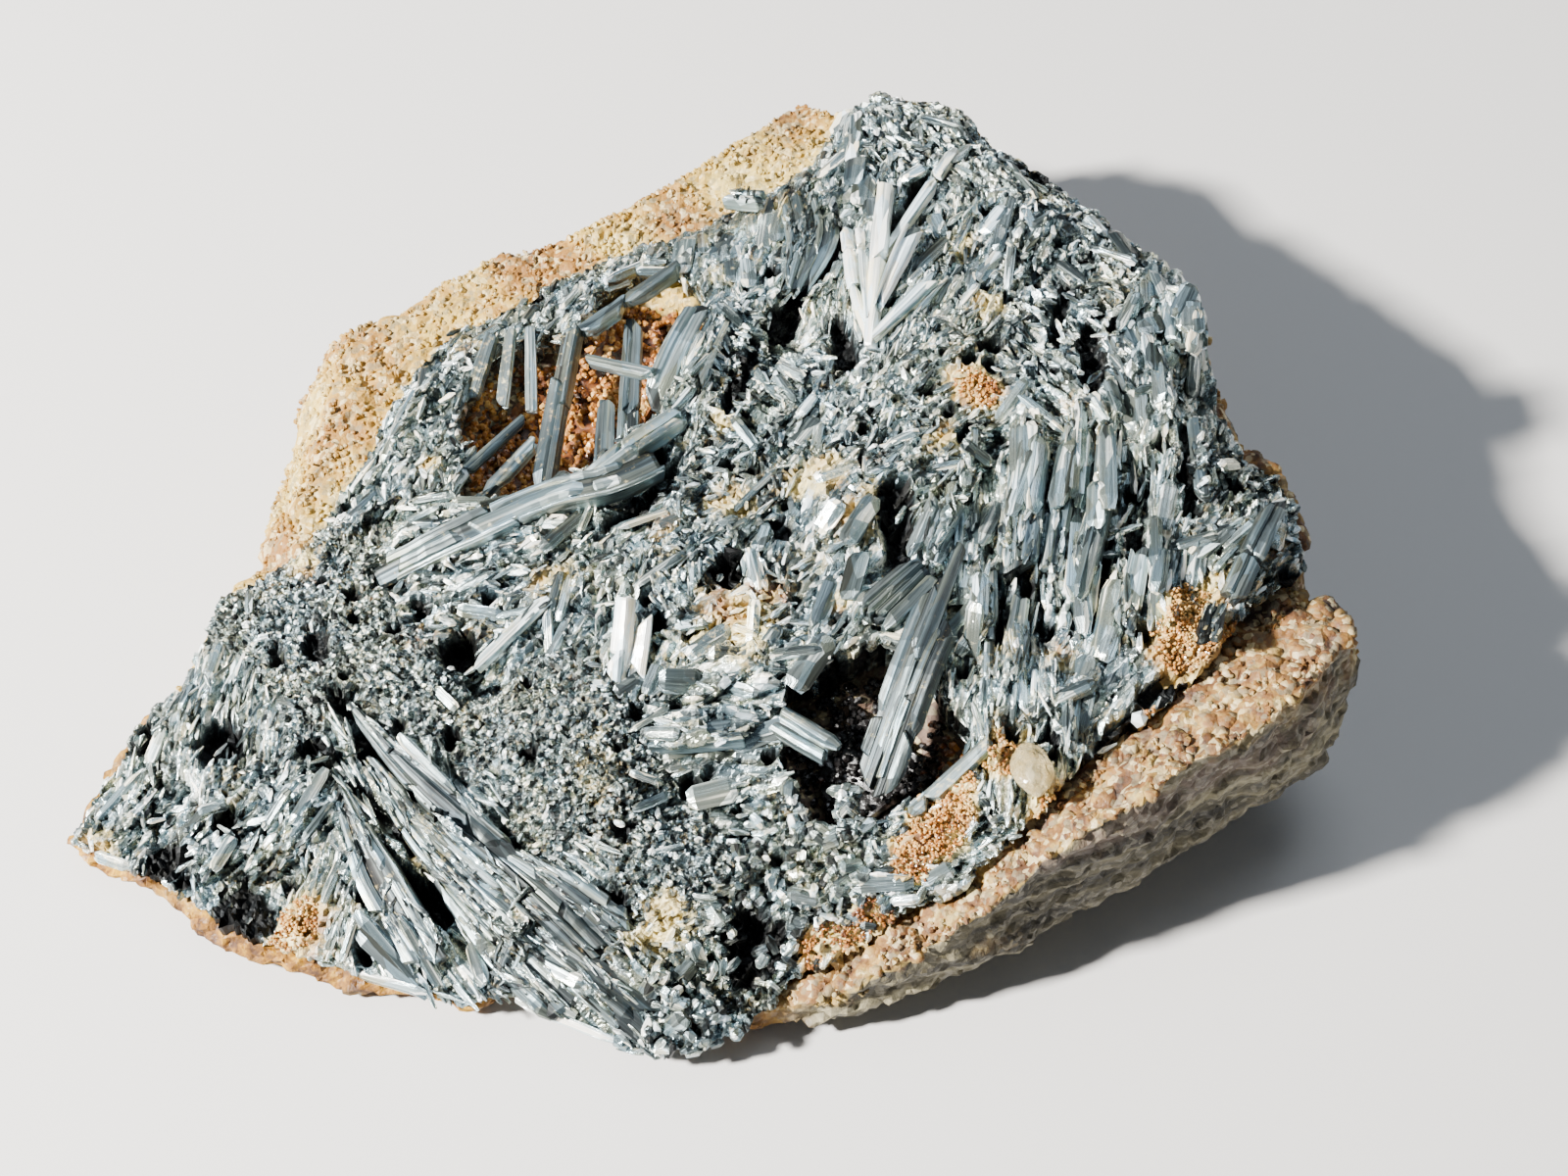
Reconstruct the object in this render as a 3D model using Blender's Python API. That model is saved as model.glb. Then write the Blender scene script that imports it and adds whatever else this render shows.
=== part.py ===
"""Stibnite crystal spray: a loose hand specimen of bladed stibnite on its ochre quartz matrix.

The matrix is a slab that thins towards its left tip. A crust of intergrown stibnite lies on it, broken by
two hollows. Larger blades and sprays are bedded in pockets of the crust or stand in the hollows, whose
floors carry a rusty druse. The sizes below are in millimetres, and meshes are written in metres. The
origin is under the middle of the specimen, on the surface that it rests on, +X to its right corner and +Z up.
"""

import math
import random

import bmesh
import bpy
from mathutils import Matrix, Vector, noise
from mathutils.geometry import delaunay_2d_cdt

MM = 0.001

# Driving dimensions, in millimetres.
GAP = 0.3  # clearance between pieces that touch
BED_GAP = 0.6  # clearance under the crust and the druses, whose facets don't match the matrix's
CRUST_AT_EDGE = 3.0  # stibnite over the matrix near the crust's edge
CRUST_IN_MIDDLE = 4.8
CRUST_LIP = 1.2  # what is left of the crust at its rounded edge
LIP_WIDTH = 3.5
WALL_STEP = 2.8  # spacing of the points round the slab
TOP_STEP = 3.2  # spacing of the crust's surface points
SEAT_STEP = 4.4  # spacing of the points where matrix and crust meet
DRUSE_STEP = 2.0
WALL_ROUGHNESS = 1.3
WALL_BIAS = 0.3  # how far the wall's noise is shifted inwards, as a share of the roughness
ROUGH_HEIGHT = 8.0  # rim height from which the wall has its whole roughness
RIM_STRAY = 0.25  # how far the rim strays sideways
RIM_RISE = 0.5  # how far the rim strays up and down, and how far it may stand over the top surface
LOWEST_RIM = 0.25  # of the rim over the girth
RIM_OVER_GIRTH = 2.0  # an own rim height counts from this much over half the girth's
TOP_ROUGHNESS = 0.5
THICKENING_WIDTH = 12.0  # distance from the edge at which the crust has its whole thickness
THINNEST_CRUST = 0.5
BOWL_RIM = 0.2  # how far outside its outline a hollow starts to sink
BOWL_WIDTH = 4.0  # width of a hollow's sloping side
HOLLOW_DEPTH = 3.6  # how far a hollow's floor lies under the seat
BORDER_WIDTH = 1.5  # distance from the crust at which the matrix has its whole bumps
LINE_MARGIN = 0.8  # least distance from the rim to the line round the crust's edge
LINE_CLEARANCE = 1.2  # least distance from that line to a free point of the seat
DRUSE_INSET = 3.0  # from a hollow's outline to its lining's
DRUSE_GAP = 1.8 * BED_GAP
DRUSE_THICKNESS = 0.7
HOLLOW_CLEARANCE = 1.2  # least distance from a hollow to a fused blade's end
EDGE_CLEARANCE = 1.5  # least distance from the crust's edge to a fused blade's end
BLADE_LIFT = 0.35  # of a fused blade over the crust's top
BLADE_THICKNESS = 1.6
BLADE_ROLL = 35  # degrees by which a fused blade may be rolled to either side
WELD = 1e-4  # distance under which two corners are one

# Shares.
PLAN_STRAY = 0.12  # of the step between two points of an outline
JITTER = 0.25  # of the step between two points of a surface
TOP_MARGIN = 0.45  # of the step, kept free along the crust's edge
SEAT_MARGIN = 0.4  # of the step, kept free along the matrix's rim and a lining's edge
HOLLOW_STEP = 0.7  # spacing round a hollow, of the seat's
SOFT_RELIEF = 0.5  # strength of the broad waves on the top, of the fine ones
FLAT_PIT = 0.3  # of a pit's radius that is flat
FLAT_LEDGE = 0.15  # of a ledge's half width that is flat
LOST_RELIEF = 0.8  # of the relief that is lost at the crust's edge
KNEE = 1.05  # a crystal's width at a bend
TAIL, TAIL_LENGTH = 0.62, 0.4  # a crystal's width at its tail, and the tail's length by the crystal's width
TIP, TIP_LENGTH, SHOULDER = 0.42, 0.55, 0.95  # the same for its tip, and the width where the tip starts
DRUSE_LEVEL, DRUSE_BUMPS = 1.1, 0.8  # a lining's mean thickness and its bumps, of the driving thickness
LENGTH_RANGE = (0.75, 1.3)  # of a spray's usual blade length
WIDTH_RANGE = (0.75, 1.25)  # of a spray's usual blade width
KEPT_TRIANGLES = 0.6  # of the crust's, after its crystals are fused to it
SPOT_FALLOFF = 1.6  # how sharply the influence of a spot height drops

# Noises: each over how many millimetres it changes, and a number that makes it differ from the others.
SEED = 51
FINE_RELIEF = (2.6, SEED)
BROAD_RELIEF = (8, SEED + 7)
PLAN_X = (1.3, 11)
PLAN_Y = (1.3, 12)
RIM_PLAN = (4, 3)
RIM_HEIGHT = (5, 9)
WALL_BUMPS = (5, 21)
BORDER_BUMPS = (2.4, 40)
DRUSE_GRAIN = (1.4, 60)
WALL_TWIST = (2.3, -1.7)  # how far the wall's noise is shifted in x and y with each millimetre of height

# The slab's outline in plan, clockwise from its left tip: x, y, height of the widest girth, height of the
# rim (0 where the crust reaches the edge), inset of the rim, inset of the flat foot.
OUTLINE = [
    (-49.9, -25.0, 1.0, 0.0, 1.0, 3.0),
    (-48.8, -21.0, 1.8, 0.0, 1.0, 4.0),
    (-45.6, -15.3, 3.0, 0.0, 1.0, 5.0),
    (-42.0, -12.2, 4.0, 0.0, 1.0, 5.0),
    (-40.0, -4.0, 4.5, 0.0, 1.2, 5.0),
    (-37.4, -1.5, 4.5, 6.5, 2.5, 5.0),
    (-37.9, 4.2, 3.5, 8.0, 3.5, 4.0),
    (-36.4, 13.7, 4.0, 9.5, 4.5, 4.0),
    (-36.3, 18.6, 4.5, 10.0, 4.5, 4.0),
    (-34.3, 23.8, 6.0, 10.5, 4.0, 4.0),
    (-29.5, 24.9, 7.0, 11.0, 3.2, 5.0),
    (-20.2, 31.1, 9.0, 12.5, 3.0, 6.0),
    (-14.9, 31.7, 10.0, 13.0, 2.8, 6.0),
    (-3.6, 37.9, 12.0, 15.0, 2.6, 8.0),
    (7.9, 45.8, 14.0, 16.5, 2.0, 9.0),
    (10.8, 43.0, 15.0, 16.6, 1.2, 9.0),
    (14.6, 44.8, 15.2, 0.0, 1.0, 8.0),
    (22.8, 41.4, 15.6, 0.0, 1.0, 8.0),
    (25.0, 35.7, 16.0, 0.0, 1.0, 7.0),
    (32.9, 26.4, 16.5, 0.0, 1.0, 6.0),
    (39.2, 18.7, 17.0, 0.0, 1.0, 5.0),
    (41.3, 10.8, 16.0, 0.0, 1.0, 5.0),
    (42.9, 7.5, 14.0, 16.5, 2.0, 5.0),
    (43.2, 3.0, 13.0, 15.5, 1.6, 5.0),
    (44.9, -0.7, 14.0, 0.0, 1.0, 5.0),
    (46.4, -3.2, 14.0, 0.0, 0.8, 5.0),
    (46.5, -9.5, 14.0, 0.0, 0.8, 6.0),
    (46.3, -13.4, 14.0, 17.0, 1.4, 6.0),
    (48.6, -14.2, 14.5, 17.6, 1.2, 7.0),
    (49.9, -15.9, 13.5, 17.8, 1.2, 8.0),
    (49.8, -17.9, 12.0, 18.2, 1.8, 8.5),
    (48.6, -20.1, 9.0, 18.5, 2.4, 8.5),
    (47.2, -22.3, 8.0, 18.6, 2.4, 8.0),
    (42.0, -25.9, 7.0, 18.6, 1.2, 7.0),
    (36.2, -29.1, 6.5, 18.2, 0.8, 6.5),
    (32.4, -31.7, 6.0, 17.4, 0.8, 6.0),
    (28.7, -33.4, 5.0, 16.2, 0.8, 5.5),
    (25.0, -34.8, 4.5, 13.8, 0.8, 5.0),
    (21.3, -37.2, 4.0, 10.6, 0.9, 4.5),
    (15.8, -39.4, 3.0, 7.8, 0.8, 4.0),
    (9.7, -41.0, 2.0, 4.8, 0.8, 3.5),
    (5.4, -40.9, 1.0, 0.0, 0.8, 3.0),
    (-1.8, -41.6, 0.8, 0.0, 0.8, 2.5),
    (-5.4, -41.2, 0.8, 0.0, 0.8, 2.5),
    (-12.0, -37.9, 1.0, 0.0, 0.8, 2.5),
    (-14.4, -38.2, 1.0, 0.0, 0.8, 3.0),
    (-16.6, -39.8, 0.8, 0.0, 0.8, 3.0),
    (-24.5, -38.2, 0.8, 0.0, 0.8, 3.0),
    (-32.8, -36.1, 0.8, 0.0, 0.8, 3.0),
    (-39.2, -32.6, 0.8, 0.0, 0.8, 3.0),
    (-42.7, -29.4, 0.8, 0.0, 0.8, 3.0),
    (-48.4, -27.0, 0.8, 0.0, 0.8, 3.0),
]
# The rings of the wall below its rim, from the foot up. Each row holds shares: of the foot's inset, of the
# rim's inset, of the girth's height, of the way from the girth up to the rim, and of the roughness.
WALL_RINGS = [
    (1.0, 0.0, 0.0, 0.0, 0.0),
    (0.55, 0.0, 0.45, 0.0, 1.0),
    (0.0, 0.0, 1.0, 0.0, 0.35),
    (0.0, 0.4, 1.0, 0.55, 1.0),
]

# Spot heights of the specimen's top surface: x, y, z.
SPOT_HEIGHTS = [
    (-47.0, -24.5, 4.4), (-43.0, -28.0, 4.2), (-39.0, -16.0, 8.2), (-37.0, -27.0, 6.2),
    (-29.0, -33.0, 5.2), (-21.0, -36.5, 4.4), (-35.0, 0.0, 10.0), (-32.0, 12.0, 12.2),
    (-30.0, 21.0, 13.0), (-17.0, 29.0, 15.0), (-2.0, 35.0, 17.0), (9.0, 41.0, 19.0),
    (19.0, 38.0, 20.6), (27.0, 27.0, 22.6), (37.0, 11.0, 23.6), (40.0, 1.0, 22.0),
    (44.0, -9.0, 20.6), (46.0, -17.0, 20.6), (40.0, -20.0, 20.4), (33.0, -26.0, 19.0),
    (25.0, -30.0, 16.0), (17.0, -34.5, 11.8), (9.0, -38.0, 7.6), (3.0, -40.5, 4.8),
    (-3.0, -41.5, 3.8), (-10.0, -39.0, 4.4), (-15.0, -38.5, 4.4), (-24.0, -13.0, 12.6),
    (-9.0, -23.0, 13.6), (0.0, -33.0, 9.6), (-18.0, 2.0, 14.6), (1.0, -8.0, 17.0),
    (1.0, 12.0, 18.6), (21.0, -8.0, 19.8), (21.0, 12.0, 22.0), (16.0, -20.0, 17.0),
]  # fmt: skip
SPOT_SPREAD = 4.5  # how widely a spot height is felt

# The stibnite crust's edge in plan, clockwise from the left tip.
CRUST_EDGE = [
    (-48.7, -25.6), (-48.0, -22.0), (-44.7, -16.4), (-41.3, -13.2), (-39.2, -5.8), (-36.0, -4.3),
    (-32.5, -1.0), (-31.0, 3.1), (-28.5, 7.0), (-27.5, 11.0), (-25.5, 16.0), (-22.5, 19.8),
    (-17.0, 21.5), (-13.5, 25.0), (-8.0, 27.0), (-3.2, 28.0), (5.2, 33.0), (9.0, 35.5),
    (11.0, 40.5), (14.4, 43.6), (22.3, 40.4), (24.4, 34.8), (32.2, 25.6), (38.3, 17.9),
    (40.2, 10.6), (40.6, 3.0), (42.0, -1.4), (44.6, -2.9), (45.6, -5.8), (45.4, -11.4),
    (42.5, -14.6), (38.6, -18.0), (35.2, -21.6), (32.4, -24.2), (28.5, -26.4), (25.5, -29.4),
    (22.7, -32.5), (19.1, -34.4), (11.8, -36.9), (6.6, -39.2), (2.4, -42.9), (-1.8, -43.8),
    (-5.4, -43.3), (-11.9, -40.1), (-14.4, -39.5), (-17.0, -40.0), (-24.4, -37.5), (-32.5, -35.3),
    (-38.7, -31.8), (-42.3, -28.6), (-47.6, -26.6),
]  # fmt: skip

# The two hollows in the crust, clockwise.
LEFT_HOLLOW = [
    (-20.4, 13.6), (-17.8, 16.6), (-11.2, 16.4), (-9.6, 21.6), (-6.4, 23.3), (-3.1, 23.0), (-0.6, 18.8),
    (-1.2, 13.2), (-4.3, 6.0), (-9.6, 2.2), (-16.0, -1.6), (-19.4, -1.8), (-20.4, 0.0), (-19.4, 3.4),
    (-20.8, 7.6),
]  # fmt: skip
RIGHT_HOLLOW = [
    (6.4, -19.0), (9.6, -17.4), (13.6, -16.4), (16.6, -17.2), (17.8, -20.8), (19.8, -23.8),
    (19.4, -26.6), (15.6, -28.4), (12.6, -29.6), (9.4, -29.4), (7.0, -27.4), (5.9, -24.0),
]  # fmt: skip
HOLLOWS = {"left_hollow_druse": LEFT_HOLLOW, "right_hollow_druse": RIGHT_HOLLOW}

# Pits in the crust: x, y, radius, depth.
PITS = [
    (-40.6, -24.6, 2.2, 2.6),
    (-34.0, -30.6, 4.0, 3.0),
    (-37.6, -17.4, 1.8, 1.8),
    (-16.8, -15.6, 2.4, 3.0),
    (-12.6, -38.0, 2.4, 2.4),
    (2.0, -37.4, 3.2, 2.2),
    (-23.0, -9.0, 1.8, 1.8),
    (5.4, 11.6, 2.4, 2.6),
]
# Ledges and grooves, each along a line: x, y at both ends, half width, rise (minus is a groove).
LEDGES = [
    (-26.6, -19.0, -11.0, -30.0, 1.9, -2.0),
    (-23.0, -29.6, -18.4, -35.2, 1.5, -2.2),
    (-28.0, -18.5, -14.0, -31.0, 2.4, 1.3),
    (-22.0, -24.0, -6.0, -38.0, 3.0, 0.9),
    (10.4, 23.0, 6.2, 13.4, 1.8, -2.4),
    (9.4, 29.0, 9.6, 17.0, 3.2, 1.4),
    (-7.0, -2.6, -2.2, 2.2, 1.6, -2.0),
    (-24.0, -5.4, -8.0, 0.2, 2.2, 1.0),
    (22.4, 1.0, 20.6, -9.0, 1.3, -1.8),
    (32.6, -3.0, 30.4, -11.0, 1.2, -1.5),
    (34.0, 9.0, 36.0, 0.0, 3.2, 1.0),
    (13.6, -8.8, 15.8, -12.2, 1.5, -2.0),
    (39.0, 4.2, 43.8, -1.4, 1.6, -1.6),
    (5.0, -13.5, 4.6, -19.0, 2.4, 1.6),
]

# Crystals, each a path of x, y and lift over the top surface, then width, thickness and roll in degrees.
# The crystals of one name overlap, so they are fused in one solid.
CRYSTALS = {
    "front_fan": [
        (
            [(-27.5, -17.2, -0.4), (-23.0, -22.4, 1.2), (-18.4, -26.6, 1.4), (-13.6, -30.4, 0.8)],
            2.0, 2.2, -20,
        ),
        ([(-26.0, -21.0, -0.6), (-21.0, -27.4, 1.0), (-14.6, -33.4, 1.0)], 2.4, 1.8, 12),
        ([(-17.0, -28.0, 0.2), (-11.4, -32.6, 1.5), (-6.6, -36.8, 0.6)], 3.6, 2.0, 8),
        ([(-14.6, -28.8, 0.0), (-9.4, -32.0, 1.2), (-4.6, -35.4, 0.3)], 1.8, 2.0, -15),
        ([(-20.4, -29.6, 0.0), (-14.2, -36.6, 1.0), (-9.4, -41.0, 0.2)], 2.8, 1.8, 18),
        ([(-12.6, -34.8, 0.2), (-8.4, -38.4, 0.9), (-3.8, -41.8, 0.0)], 3.2, 1.8, 0),
        ([(-15.0, -38.8, 0.2), (-13.4, -35.6, 1.7)], 2.4, 1.8, 10),
    ],
    "front_flat_blade": [([(-28.6, -21.6, -0.2), (-24.4, -30.2, 1.3), (-19.8, -37.2, 0.6)], 3.0, 1.8, 22)],
    "long_bent_blade": [
        (
            [
                (-26.4, -6.6, -0.5), (-19.6, -4.6, 1.0), (-12.6, -1.8, 1.6),
                (-7.6, -0.9, 1.6), (-3.4, 1.6, 0.5),
            ],
            2.7, 2.0, 6,
        ),
        ([(-11.0, -1.0, 0.6), (-6.6, 1.7, 1.8), (-2.0, 5.2, 0.8)], 1.8, 1.8, -12),
    ],
    "left_hollow_prism": [([(-11.4, 16.2, 0.8), (-12.6, 8.6, -1.0), (-13.4, -0.6, -1.4)], 1.7, 1.6, 20)],
    "left_hollow_needle_1": [([(-15.2, 17.2, 0.6), (-14.8, 9.8, -1.6)], 0.9, 0.9, 0)],
    "left_hollow_needle_2": [([(-16.9, 17.4, 0.6), (-17.4, 10.6, -1.4)], 1.0, 0.9, 25)],
    "left_hollow_needle_3": [([(-18.4, 17.0, 0.6), (-20.0, 11.4, -1.0)], 1.1, 0.9, 0)],
    "left_hollow_needle_4": [([(-15.4, 8.8, -1.2), (-19.6, 2.6, -0.6)], 1.0, 0.9, -20)],
    "left_hollow_needle_5": [([(-14.2, 6.6, -1.6), (-18.9, -0.9, -1.2)], 1.3, 1.0, 15)],
    "left_hollow_blade_1": [([(-6.6, 18.0, -1.4), (-6.7, 4.2, -2.0)], 1.7, 1.0, 0)],
    "left_hollow_blade_2": [([(-1.0, 17.0, 0.0), (-2.6, 11.6, 0.9), (-4.8, 6.4, 0.2)], 2.2, 0.9, -14)],
    "left_hollow_blade_3": [([(-10.2, 12.4, 0.6), (-4.6, 8.4, 1.5)], 1.0, 0.9, 10)],
    "left_hollow_blade_4": [([(-2.6, 21.6, 0.8), (-10.6, 15.4, 0.6)], 1.4, 1.2, 0)],
    "left_hollow_blade_5": [([(-8.6, 10.4, -2.6), (-8.6, 3.6, -2.2)], 1.5, 0.9, 0)],
    "upper_fan": [
        ([(14.8, 29.0, 0.4), (13.9, 19.6, 1.9), (13.0, 10.0, 0.2)], 1.9, 1.7, 30),
        ([(16.8, 21.6, 1.8), (13.6, 13.2, 1.2)], 1.9, 1.6, -10),
        ([(20.8, 32.0, 0.8), (14.2, 19.4, 0.9)], 1.2, 1.1, 15),
        ([(19.0, 16.4, 1.2), (13.2, 10.6, 0.4)], 1.8, 1.4, 0),
        ([(11.4, 24.4, 0.0), (11.9, 16.0, 0.8), (12.9, 11.0, 0.2)], 1.4, 1.2, -25),
    ],
    "upper_plate": [([(7.8, 30.4, 0.4), (8.4, 23.4, 1.5), (6.8, 17.6, 1.1)], 4.2, 1.8, -16)],
    "centre_prism": [
        ([(-5.9, -13.0, 3.0), (-6.5, -17.8, 0.2)], 1.3, 1.3, 30),
        ([(-4.6, -13.4, 1.2), (-5.3, -17.6, 0.2)], 1.7, 1.5, 0),
    ],
    "right_hollow_sheaf": [
        ([(16.8, -11.6, 0.6), (12.6, -15.4, 1.0)], 3.4, 2.2, -10),
        ([(17.6, -12.6, 0.8), (15.2, -19.0, 0.8), (11.9, -26.8, -0.6)], 1.9, 1.3, 16),
        ([(18.4, -16.4, 1.4), (16.6, -20.6, 1.2), (13.3, -28.0, -0.4)], 1.9, 1.4, -12),
        ([(19.6, -9.8, 0.2), (16.0, -19.6, 1.6)], 1.0, 1.0, 0),
    ],
    "right_hollow_stub": [
        ([(5.2, -21.6, 0.2), (9.4, -24.6, 0.0)], 1.8, 1.4, 0),
        ([(5.9, -21.4, 0.9), (10.2, -24.6, 0.5)], 1.0, 1.0, 0),
    ],
    "right_hollow_needle": [([(21.2, -25.6, 0.8), (15.4, -29.6, 0.2)], 1.2, 1.1, 0)],
    "quartz_grain": [([(24.3, -26.2, 0.2), (23.9, -28.2, 0.9), (23.6, -30.2, 0.6)], 2.6, 1.6, 8)],
    "edge_dark_blade": [([(43.6, -6.8, 0.4), (41.4, -11.6, 1.6), (38.9, -16.6, 0.9)], 1.7, 1.5, -20)],
}  # fmt: skip
QUARTZ = ("quartz_grain",)  # the crystals above that aren't stibnite

# Crystals that are grown into the crust and fused to it, each in the same form.
INGROWN = [
    ([(1.6, 16.0, 0.0), (-1.6, 7.4, 0.9)], 1.7, 1.4, 18),
    ([(0.0, 13.0, 0.2), (-3.4, 5.2, 0.6)], 1.4, 1.2, -10),
    ([(1.2, 29.8, 0.9), (4.4, 28.6, 1.2)], 1.9, 1.4, 0),
    ([(4.4, -16.6, 1.0), (-1.4, -20.6, 1.3)], 1.8, 1.3, 0),
    ([(2.2, -16.6, 0.8), (-3.4, -19.6, 0.9)], 1.3, 1.2, 20),
    ([(-4.4, -22.4, 0.3), (3.9, -21.8, 1.1)], 3.3, 1.6, 5),
    ([(-17.6, -15.6, 0.0), (-12.2, -10.6, 1.2)], 1.0, 0.9, 0),
    ([(-8.8, -24.6, 0.2), (-5.6, -27.2, 1.2)], 0.8, 0.8, 0),
    ([(17.7, -6.4, 2.0), (15.7, -10.2, 0.2)], 1.1, 1.6, 0),
    ([(19.3, -7.0, 2.0), (17.3, -10.8, 0.2)], 1.1, 1.6, 0),
    ([(11.0, -30.6, 0.0), (10.6, -27.0, -0.4)], 1.7, 1.4, 0),
    ([(27.4, -21.6, 0.4), (26.6, -27.0, 0.9)], 1.0, 0.9, 0),
    ([(23.4, -24.2, 0.7), (29.0, -21.6, 1.1)], 1.1, 1.0, 0),
    ([(25.6, 3.0, 0.1), (24.6, -5.0, 0.8), (23.4, -12.6, 0.4)], 3.0, 1.7, 14),
    ([(28.6, 2.0, 0.1), (27.6, -5.0, 0.9), (26.0, -12.6, 0.3)], 1.6, 1.6, -12),
    ([(31.4, 1.2, 0.0), (30.4, -6.0, 0.8), (28.6, -13.0, 0.3)], 1.7, 1.6, 10),
    ([(21.2, -11.8, 0.1), (20.8, -17.6, 0.9)], 2.2, 1.6, 0),
    ([(23.8, -14.0, 0.0), (22.6, -21.0, 0.9)], 1.6, 1.4, -18),
    ([(33.0, -10.4, 0.0), (31.2, -18.0, 0.8)], 1.7, 1.4, 10),
    ([(33.2, 9.0, 0.0), (34.6, 3.0, 1.1)], 4.2, 1.8, 12),
    ([(37.6, 13.0, 0.2), (37.9, 6.6, 1.1)], 3.2, 1.8, 8),
    ([(37.9, 0.6, 0.2), (37.7, -7.4, 1.6)], 1.0, 1.0, 20),
    ([(37.9, -17.2, 0.2), (36.9, -20.4, 1.0)], 2.0, 1.6, 0),
]

# Sprays of small blades fused to the crust: apex x, y, first and last direction in degrees, nearest and
# farthest distance from the apex, number of blades, their length and width.
SPRAYS = [
    (-31.0, -13.0, -62, -28, 8, 36, 12, 6.5, 1.7),
    (-33.0, -15.0, 175, 240, 4, 17, 8, 5.0, 1.8),
    (-33.0, -8.0, 30, 80, 4, 22, 7, 4.5, 1.5),
    (13.0, 9.0, 48, 132, 8, 32, 10, 5.0, 1.6),
    (-3.0, -15.0, 25, 85, 3, 22, 9, 5.5, 1.9),
    (29.0, 58.0, -98, -82, 44, 86, 13, 6.5, 1.7),
    (20.0, 4.0, 15, 75, 7, 26, 8, 6.0, 2.6),
    (-16.0, -24.0, -70, -25, 8, 24, 7, 5.0, 2.2),
]

# Colours, roughness and metallic value of each finish.
FINISHES = {
    "matrix": ((0.62, 0.43, 0.25), 0.9, 0.0),
    "stibnite": ((0.30, 0.34, 0.37), 0.38, 0.85),
    "druse": ((0.50, 0.21, 0.07), 0.45, 0.0),
    "quartz": ((0.66, 0.58, 0.42), 0.2, 0.0),
}


def smooth_step(t):
    """0 below 0, 1 above 1, and an even ramp between them."""
    t = max(0.0, min(1.0, t))
    return t * t * (3 - 2 * t)


def wander(x, y, scale, salt):
    """Smooth noise, about -1 to 1, that changes over about scale millimetres."""
    return noise.noise(Vector((x / scale, y / scale, salt)))


def reach_inside(x, y, outline):
    """Distance from a point to a closed outline, positive inside it."""
    nearest, inside = 1e9, False
    for i, (bx, by) in enumerate(outline):
        ax, ay = outline[i - 1]
        dx, dy = bx - ax, by - ay
        t = max(0.0, min(1.0, ((x - ax) * dx + (y - ay) * dy) / (dx * dx + dy * dy)))
        nearest = min(nearest, math.hypot(ax + t * dx - x, ay + t * dy - y))
        if (ay > y) != (by > y) and x < ax + (y - ay) * dx / dy:
            inside = not inside
    return nearest if inside else -nearest


def walked(rows, step):
    """The rows of a closed outline with even steps put between them, which stray a little from a line."""
    points = []
    for i, row in enumerate(rows):
        after = rows[(i + 1) % len(rows)]
        count = max(1, round(math.hypot(after[0] - row[0], after[1] - row[1]) / step))
        points.append(tuple(row))
        for k in range(1, count):
            x, y, *others = (a + (b - a) * k / count for a, b in zip(row, after))
            x += PLAN_STRAY * step * wander(x, y, *PLAN_X)
            y += PLAN_STRAY * step * wander(x, y, *PLAN_Y)
            points.append((x, y, *others))
    return points


def surface(x, y):
    """Height of the specimen's top surface, without its relief."""
    total = weights = 0.0
    for spot_x, spot_y, z in SPOT_HEIGHTS:
        weight = ((x - spot_x) ** 2 + (y - spot_y) ** 2 + SPOT_SPREAD**2) ** -SPOT_FALLOFF
        total += weight * z
        weights += weight
    return total / weights


def seat(x, y):
    """Height of the matrix under the crust, and of the ground that the crust's edge stands on."""
    inside = reach_inside(x, y, CRUST_EDGE)
    thicker = smooth_step(inside / THICKENING_WIDTH) * (CRUST_IN_MIDDLE - CRUST_AT_EDGE)
    return surface(x, y) - CRUST_AT_EDGE - thicker


def relief(x, y):
    """What pits, ledges and grain add to the crust's top."""
    rise = TOP_ROUGHNESS * wander(x, y, *FINE_RELIEF)
    rise += SOFT_RELIEF * TOP_ROUGHNESS * wander(x, y, *BROAD_RELIEF)
    for pit_x, pit_y, radius, depth in PITS:
        rise -= depth * (1 - smooth_step(math.hypot(x - pit_x, y - pit_y) / radius - FLAT_PIT))
    for ax, ay, bx, by, width, height in LEDGES:
        dx, dy = bx - ax, by - ay
        t = max(0.0, min(1.0, ((x - ax) * dx + (y - ay) * dy) / (dx * dx + dy * dy)))
        away = math.hypot(ax + t * dx - x, ay + t * dy - y)
        rise += height * (1 - smooth_step(away / width - FLAT_LEDGE))
    return rise


def crust_top(x, y):
    """Height of the crust's top, which rounds down to a thin lip at its edge."""
    inside = reach_inside(x, y, CRUST_EDGE)
    rounding = 1 - smooth_step(inside / LIP_WIDTH)
    top = surface(x, y) - rounding * (CRUST_AT_EDGE - CRUST_LIP)
    top += relief(x, y) * (1 - LOST_RELIEF * rounding)
    return max(top, seat(x, y) + BED_GAP + THINNEST_CRUST)


def scatter(outline, step, margin, holes=()):
    """Points of a jittered triangular grid inside an outline and clear of its holes."""
    dice = random.Random(SEED + len(outline))
    xs, ys = [p[0] for p in outline], [p[1] for p in outline]
    points = []
    row_height = step * math.sqrt(3) / 2
    rows = int((max(ys) - min(ys)) / row_height) + 1
    columns = int((max(xs) - min(xs)) / step) + 2
    for row in range(rows):
        for column in range(columns):
            x = min(xs) + (column + 0.5 * (row % 2)) * step + dice.uniform(-JITTER, JITTER) * step
            y = min(ys) + row * row_height + dice.uniform(-JITTER, JITTER) * step
            if reach_inside(x, y, outline) > margin and all(
                reach_inside(x, y, hole) < -margin for hole in holes
            ):
                points.append((x, y))
    return points


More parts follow.
